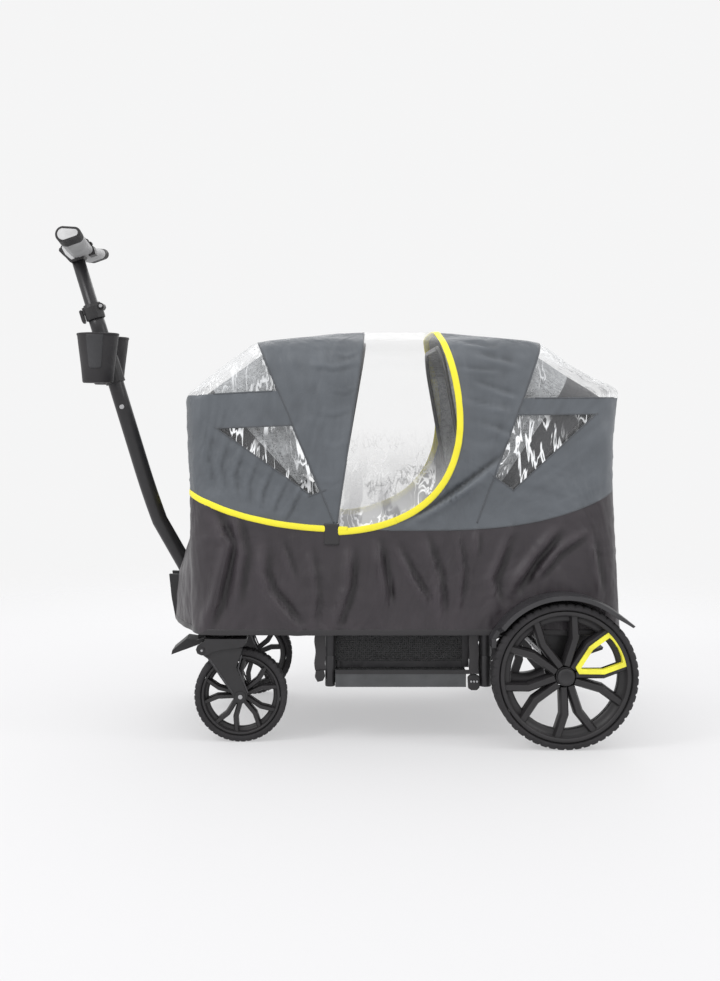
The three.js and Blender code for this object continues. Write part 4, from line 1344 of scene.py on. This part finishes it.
def add_grip():
    """A padded crossbar with ribbed ends, and a ribbed hub that tapers down to the tube."""
    stations = [(y, -1.5 * (1 - abs(y) / 140) - (0.8 if abs(y) > 141 else 0)) for y in range(-144, 145, 8)]
    pads = grip_piece("grip_pads", stations, "grip")
    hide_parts("handle_grip")
    for side, s in SIDES:
        ribs = []
        for k in range(7):
            y = 143 + 6 * k
            ribs += [(y, -0.6), (y + 0.6, 0.5), (y + 3.8, 0.5), (y + 4.4, -0.6)]
        ribs.append((184.5, 0.2))
        grip_piece(f"grip_end_{side}", [(s * y, grow) for y, grow in ribs], "plastic")
        grip_piece(f"grip_cap_{side}", [(s * 184, -5.2), (s * 186.2, -5.2), (s * 186.8, -6.0)], "grip_face")
    frame_outline = ((-17, 551), (17, 551), (23, 560), (25, 576.5), (38, 582), (34, 600),
                     (-18, 604), (-30, 592), (-26, 570))
    shell_outline = ((-12, 556), (13, 556), (21, 563), (22, 578), (33, 583), (30, 596),
                     (-16, 600), (-26, 590), (-22, 572))
    rib_outline = ((-5, 550), (6, 550), (8, 566), (2, 582), (-2, 601), (-9, 601), (-5, 582), (-1, 566))
    lip_outline = ((12, 556), (19, 562), (21, 575), (16, 585), (18, 574), (15, 564))
    blade_outline = ((-22, 566), (-28, 571), (-37, 588), (-34, 594), (-28, 594), (-24, 582))
    handle_plate("grip_hub_frame", frame_outline, 20, "plastic")
    handle_plate("grip_hub_shell", shell_outline, 23, "grip_face")
    handle_plate("grip_hub_rib", rib_outline, 24.5, "plastic", 1.2)
    handle_plate("grip_hub_lip", lip_outline, 24.2, "plastic", 0.6)
    handle_plate("grip_latch_blade", blade_outline, 9, "plastic", 1.2)
    for number, (x, z) in enumerate(((32, 574), (36, 587))):
        for side, s in SIDES:
            for radius, reach, look in ((6.2, 27, "plastic"), (3.0, 28, "silver")):
                bm = bmesh.new()
                bar(bm, along_handle(x, s * 19, z), along_handle(x, s * reach, z), radius, 24)
                bolt = soften(from_bmesh(f"hub_bolt_{number}_{side}_{look}", bm, look, False), 0.6)
                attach(bolt, "handle_upper")


def add_upper_tube():
    profile = [(0, 231), (15, 231), (15.9, 232), (15.9, 571), (0, 571)]
    upper = handle_lathe("upper_handle_tube", profile, "frame")
    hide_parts("handle_upper_tube")
    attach(upper, "handle_upper")


def add_cups():
    for side, s in SIDES:
        place = foot_of(f"cup_holder_{side}")
        bm = bmesh.new()
        profile = [(0, 0), (34, 0), (36.3, 2.5), (39.4, 36), (44.6, 78), (48.2, 108), (48.6, 111.5),
                   (50, 113), (50, 116), (49, 117), (47.4, 116.4), (46.4, 109), (42.6, 78), (37.4, 36),
                   (34.5, 4), (32, 2.6), (0, 2.6)]
        lathe(bm, profile, place, "Z", 96)
        cup = from_bmesh(f"cup_{side}", bm, "cup")
        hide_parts(f"cup_holder_{side}")
        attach(cup, "handle_lower")
        bm = bmesh.new()
        grid = []
        for i in range(17):
            z = 33 + 81 * i / 16
            narrow = 1 if z > 39 else 0.8 + 0.2 * math.sqrt(max(0.0, 1 - ((39 - z) / 6) ** 2))
            row = []
            for k in range(13):
                spread = (k / 12 - 0.5) * 50 * narrow * (0.82 + 0.18 * z / 117)
                angle = math.radians(-90 + spread) * (1 if s < 0 else -1)
                radius = between(((33, 39.1), (36, 39.4), (78, 44.6), (108, 48.2), (115, 48.6)), z) + 0.9
                offset = Vector((radius * math.cos(angle), radius * math.sin(angle), z))
                row.append(bm.verts.new(place + offset * MM))
            grid.append(row)
        for a, b in zip(grid, grid[1:]):
            for k in range(12):
                bm.faces.new((a[k], a[k + 1], b[k + 1], b[k]))
        panel = from_bmesh(f"cup_panel_{side}", bm, "cup_panel")
        thick = panel.modifiers.new("thick", "SOLIDIFY")
        thick.thickness = 0.0014
        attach(panel, "handle_lower")


def add_handle():
    add_lower_tube()
    add_upper_tube()
    add_grip()
    add_cups()
    for y, radius, look in ((-15, 7.6, "plastic"), (15, 7.6, "plastic"), (-17, 4.2, "silver")):
        bm = bmesh.new()
        head = along_handle(22.4, y + math.copysign(3, y), 429.5)
        bar(bm, along_handle(22.4, y, 429.5), head, radius, 6 if radius > 5 else 20)
        name = f"collar_bolt_{radius}_{y}".replace(".", "_").replace("-", "n")
        bolt = soften(from_bmesh(name, bm, look, False), 0.5)
        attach(bolt, "handle_lower")


# ---- posts, straps and small fittings ----
def add_posts():
    for side, _ in SIDES:
        for end, radius in (("front", 11), ("rear", 14)):
            node = f"{end}_post_{side}"
            low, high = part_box(node)
            length = (high[2] - low[2]) / MM
            profile = [(0, 0), (radius - 1, 0), (radius, 1.2), (radius, 66), (radius - 1.2, 67.4),
                       (radius - 1.2, 69), (radius, 70.4), (radius, length - 1), (0, length)]
            bm = bmesh.new()
            lathe(bm, profile, foot_of(node), "Z", 40)
            post = from_bmesh(f"{end}_tube_{side}", bm, "frame")
            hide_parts(node)
            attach(post, "root")


def webbing(name, path, y, width, look="strap"):
    """A flat strap that hangs down one side: path is [x, z] from the top, with a slow wave in and out."""
    bm = bmesh.new()
    rows = []
    thick = math.copysign(1.4, y)
    for i, (x, z) in enumerate(path):
        wave = math.copysign(1.6 * math.sin(i * 1.9) + 0.8 * math.sin(i * 0.7 + 1), y)
        turn = 0.8 * math.sin(i * 1.3)
        corners = ((-width / 2, 0), (width / 2, 0), (width / 2, thick), (-width / 2, thick))
        rows.append([bm.verts.new(at(x + dx, y + wave + dy + turn * dx / width, z)) for dx, dy in corners])
    skin(bm, rows)
    strap = soften(from_bmesh(name, bm, look), 0.4, 2, 40)
    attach(strap, "root")
    return strap


def pins(name, places, radius, length, look, body):
    """Round pin heads: each place is [x, y, z, way], with y at the face and way the side it faces."""
    bm = bmesh.new()
    for x, y, z, way in places:
        bar(bm, at(x, y - way * length * 0.4, z), at(x, y + way * length, z), radius, 28)
    heads = soften(from_bmesh(name, bm, look, False), min(0.7, length * 0.3), 2, 40)
    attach(heads, body)


def rib_along(bm, points, width, y0, y1):
    """A raised strip that follows [x, z] points on a plate."""
    for (x0, z0), (x1, z1) in zip(points, points[1:]):
        length = math.hypot(x1 - x0, z1 - z0)
        ax, az = (z0 - z1) / length * width / 2, (x1 - x0) / length * width / 2
        slab(bm, [(x0 - ax, z0 - az), (x1 - ax, z1 - az), (x1 + ax, z1 + az), (x0 + ax, z0 + az)], y0, y1)


def add_side_details():
    """Cover tie-downs, their brackets, the rails' dark upper lips and the casters' bolts."""
    for side, s in SIDES:
        front_path = [(-178 + 1.5 * math.sin(k), 262 - 8.0 * k) for k in range(14)]
        rear_path = [(163 + 0.8 * math.sin(k), 262 - 8.4 * k) for k in range(14)]
        webbing(f"front_tie_{side}", front_path, s * 240, 24)
        webbing(f"rear_tie_{side}", rear_path, s * 249.6, 21)
        bm = bmesh.new()
        near, far = sorted((s * 236, s * 247))
        slab(bm, [(-188, 158), (-170, 160), (-167, 146), (-172, 136), (-184, 133), (-190, 144)], near, far)
        near, far = sorted((s * 240, s * 252))
        rear_clip = [(151, 120), (158, 116), (170, 116), (176, 122),
                     (176, 146), (170, 150), (156, 150), (150, 144)]
        slab(bm, rear_clip, near, far)
        clips = soften(from_bmesh(f"tie_clips_{side}", bm, "plastic", False), 1.6)
        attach(clips, "root")
        places = [(x, s * 252, 136, s) for x in (157, 163.5, 170)]
        pins(f"tie_pins_{side}", places, 2.4, 2.5, "silver", "root")
        low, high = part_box("footwell_tray")
        wall = (low.y if s < 0 else high.y) / MM
        near, far = sorted((wall - s * 4, wall + s * 1.4))
        bm = bmesh.new()
        slab(bm, [(140, 162), (155, 162), (155, 262), (140, 262)], near, far)
        slab(bm, [(-140, 162), (140, 162), (140, 176), (-140, 176)], near, far)
        edge = soften(from_bmesh(f"tray_edge_{side}", bm, "liner", False), 0.6)
        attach(edge, "root")
        low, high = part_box(f"lower_rail_{side}")
        bm = bmesh.new()
        face = (low.y if s < 0 else high.y) / MM
        near, far = sorted((face - s * 3, face + s * 1.2))
        slab(bm, [(-144, 152), (175, 152), (175, 161), (-144, 161)], near, far)
        lip = soften(from_bmesh(f"rail_lip_{side}", bm, "plastic", False), 0.6)
        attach(lip, "root")
        middle_y = s * FRONT_WHEEL["y"]
        for way in (-1, 1):
            tag = f"{side}_{'out' if way == s else 'in'}"
            bracket, fork = f"caster_bracket_{side}", f"caster_fork_{side}"
            axle_x, axle_z = FRONT_WHEEL["x"], FRONT_WHEEL["r"]
            bolt, core = (-440, middle_y + way * 36, 207, way), (-440, middle_y + way * 38, 207, way)
            washer = (axle_x, middle_y + way * 31.5, axle_z, way)
            nut = (axle_x, middle_y + way * 33.5, axle_z, way)
            pins(f"caster_bolt_{tag}", [bolt], 6.5, 2.2, "plastic", bracket)
            pins(f"caster_bolt_core_{tag}", [core], 2.6, 0.9, "silver", bracket)
            pins(f"axle_washer_{tag}", [washer], 12.5, 2.2, "plastic", fork)
            pins(f"axle_bolt_{tag}", [nut], 5.0, 1.6, "silver", fork)
            bm = bmesh.new()
            near, far = sorted((middle_y + way * 31, middle_y + way * 33))
            rib_along(bm, [(-436, 196), (-424, 188), (-372, 112)], 3.5, near, far)
            rib_along(bm, [(-338, 112), (-360, 166), (-352, 196)], 3.5, near, far)
            ribs = soften(from_bmesh(f"fork_ribs_{tag}", bm, "fender", False), 0.8)
            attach(ribs, fork)


def finish_frame():
    """Carried-over CAD nodes: rounded edges and the right finish."""
    looks = {
        "frame": ("front_frame", "rear_frame", "top_rail"),
        "rail": ("lower_rail_near", "lower_rail_far"),
        "silver": ("rear_axle", "handle_pivot_pin", "detent_button"),
        "deck": ("front_seat_deck", "rear_seat_deck"),
        "liner": ("basket_liner", ),
        "net": ("footwell_tray", ),
        "plastic": ("handle_yoke", "lock_pedal", "brake_pedal", "clamp_collar", "clamp_lever", "grip_trigger",
                    "cup_holder_bracket", "caster_bracket_near", "caster_bracket_far",
                    "caster_fork_near", "caster_fork_far"),
    }
    for look, names in looks.items():
        for name in names:
            node = NODES[name]
            for slot in node.material_slots:
                slot.material = LOOK[look]
            weld = node.modifiers.new("weld", "WELD")
            weld.merge_threshold = 1e-5
            soften(node, 0.9, 2, 40)


tree = add_cover()
add_trim(tree)
add_canopies()
add_wheels()
add_fenders()
add_handle()
add_posts()
add_side_details()
finish_frame()
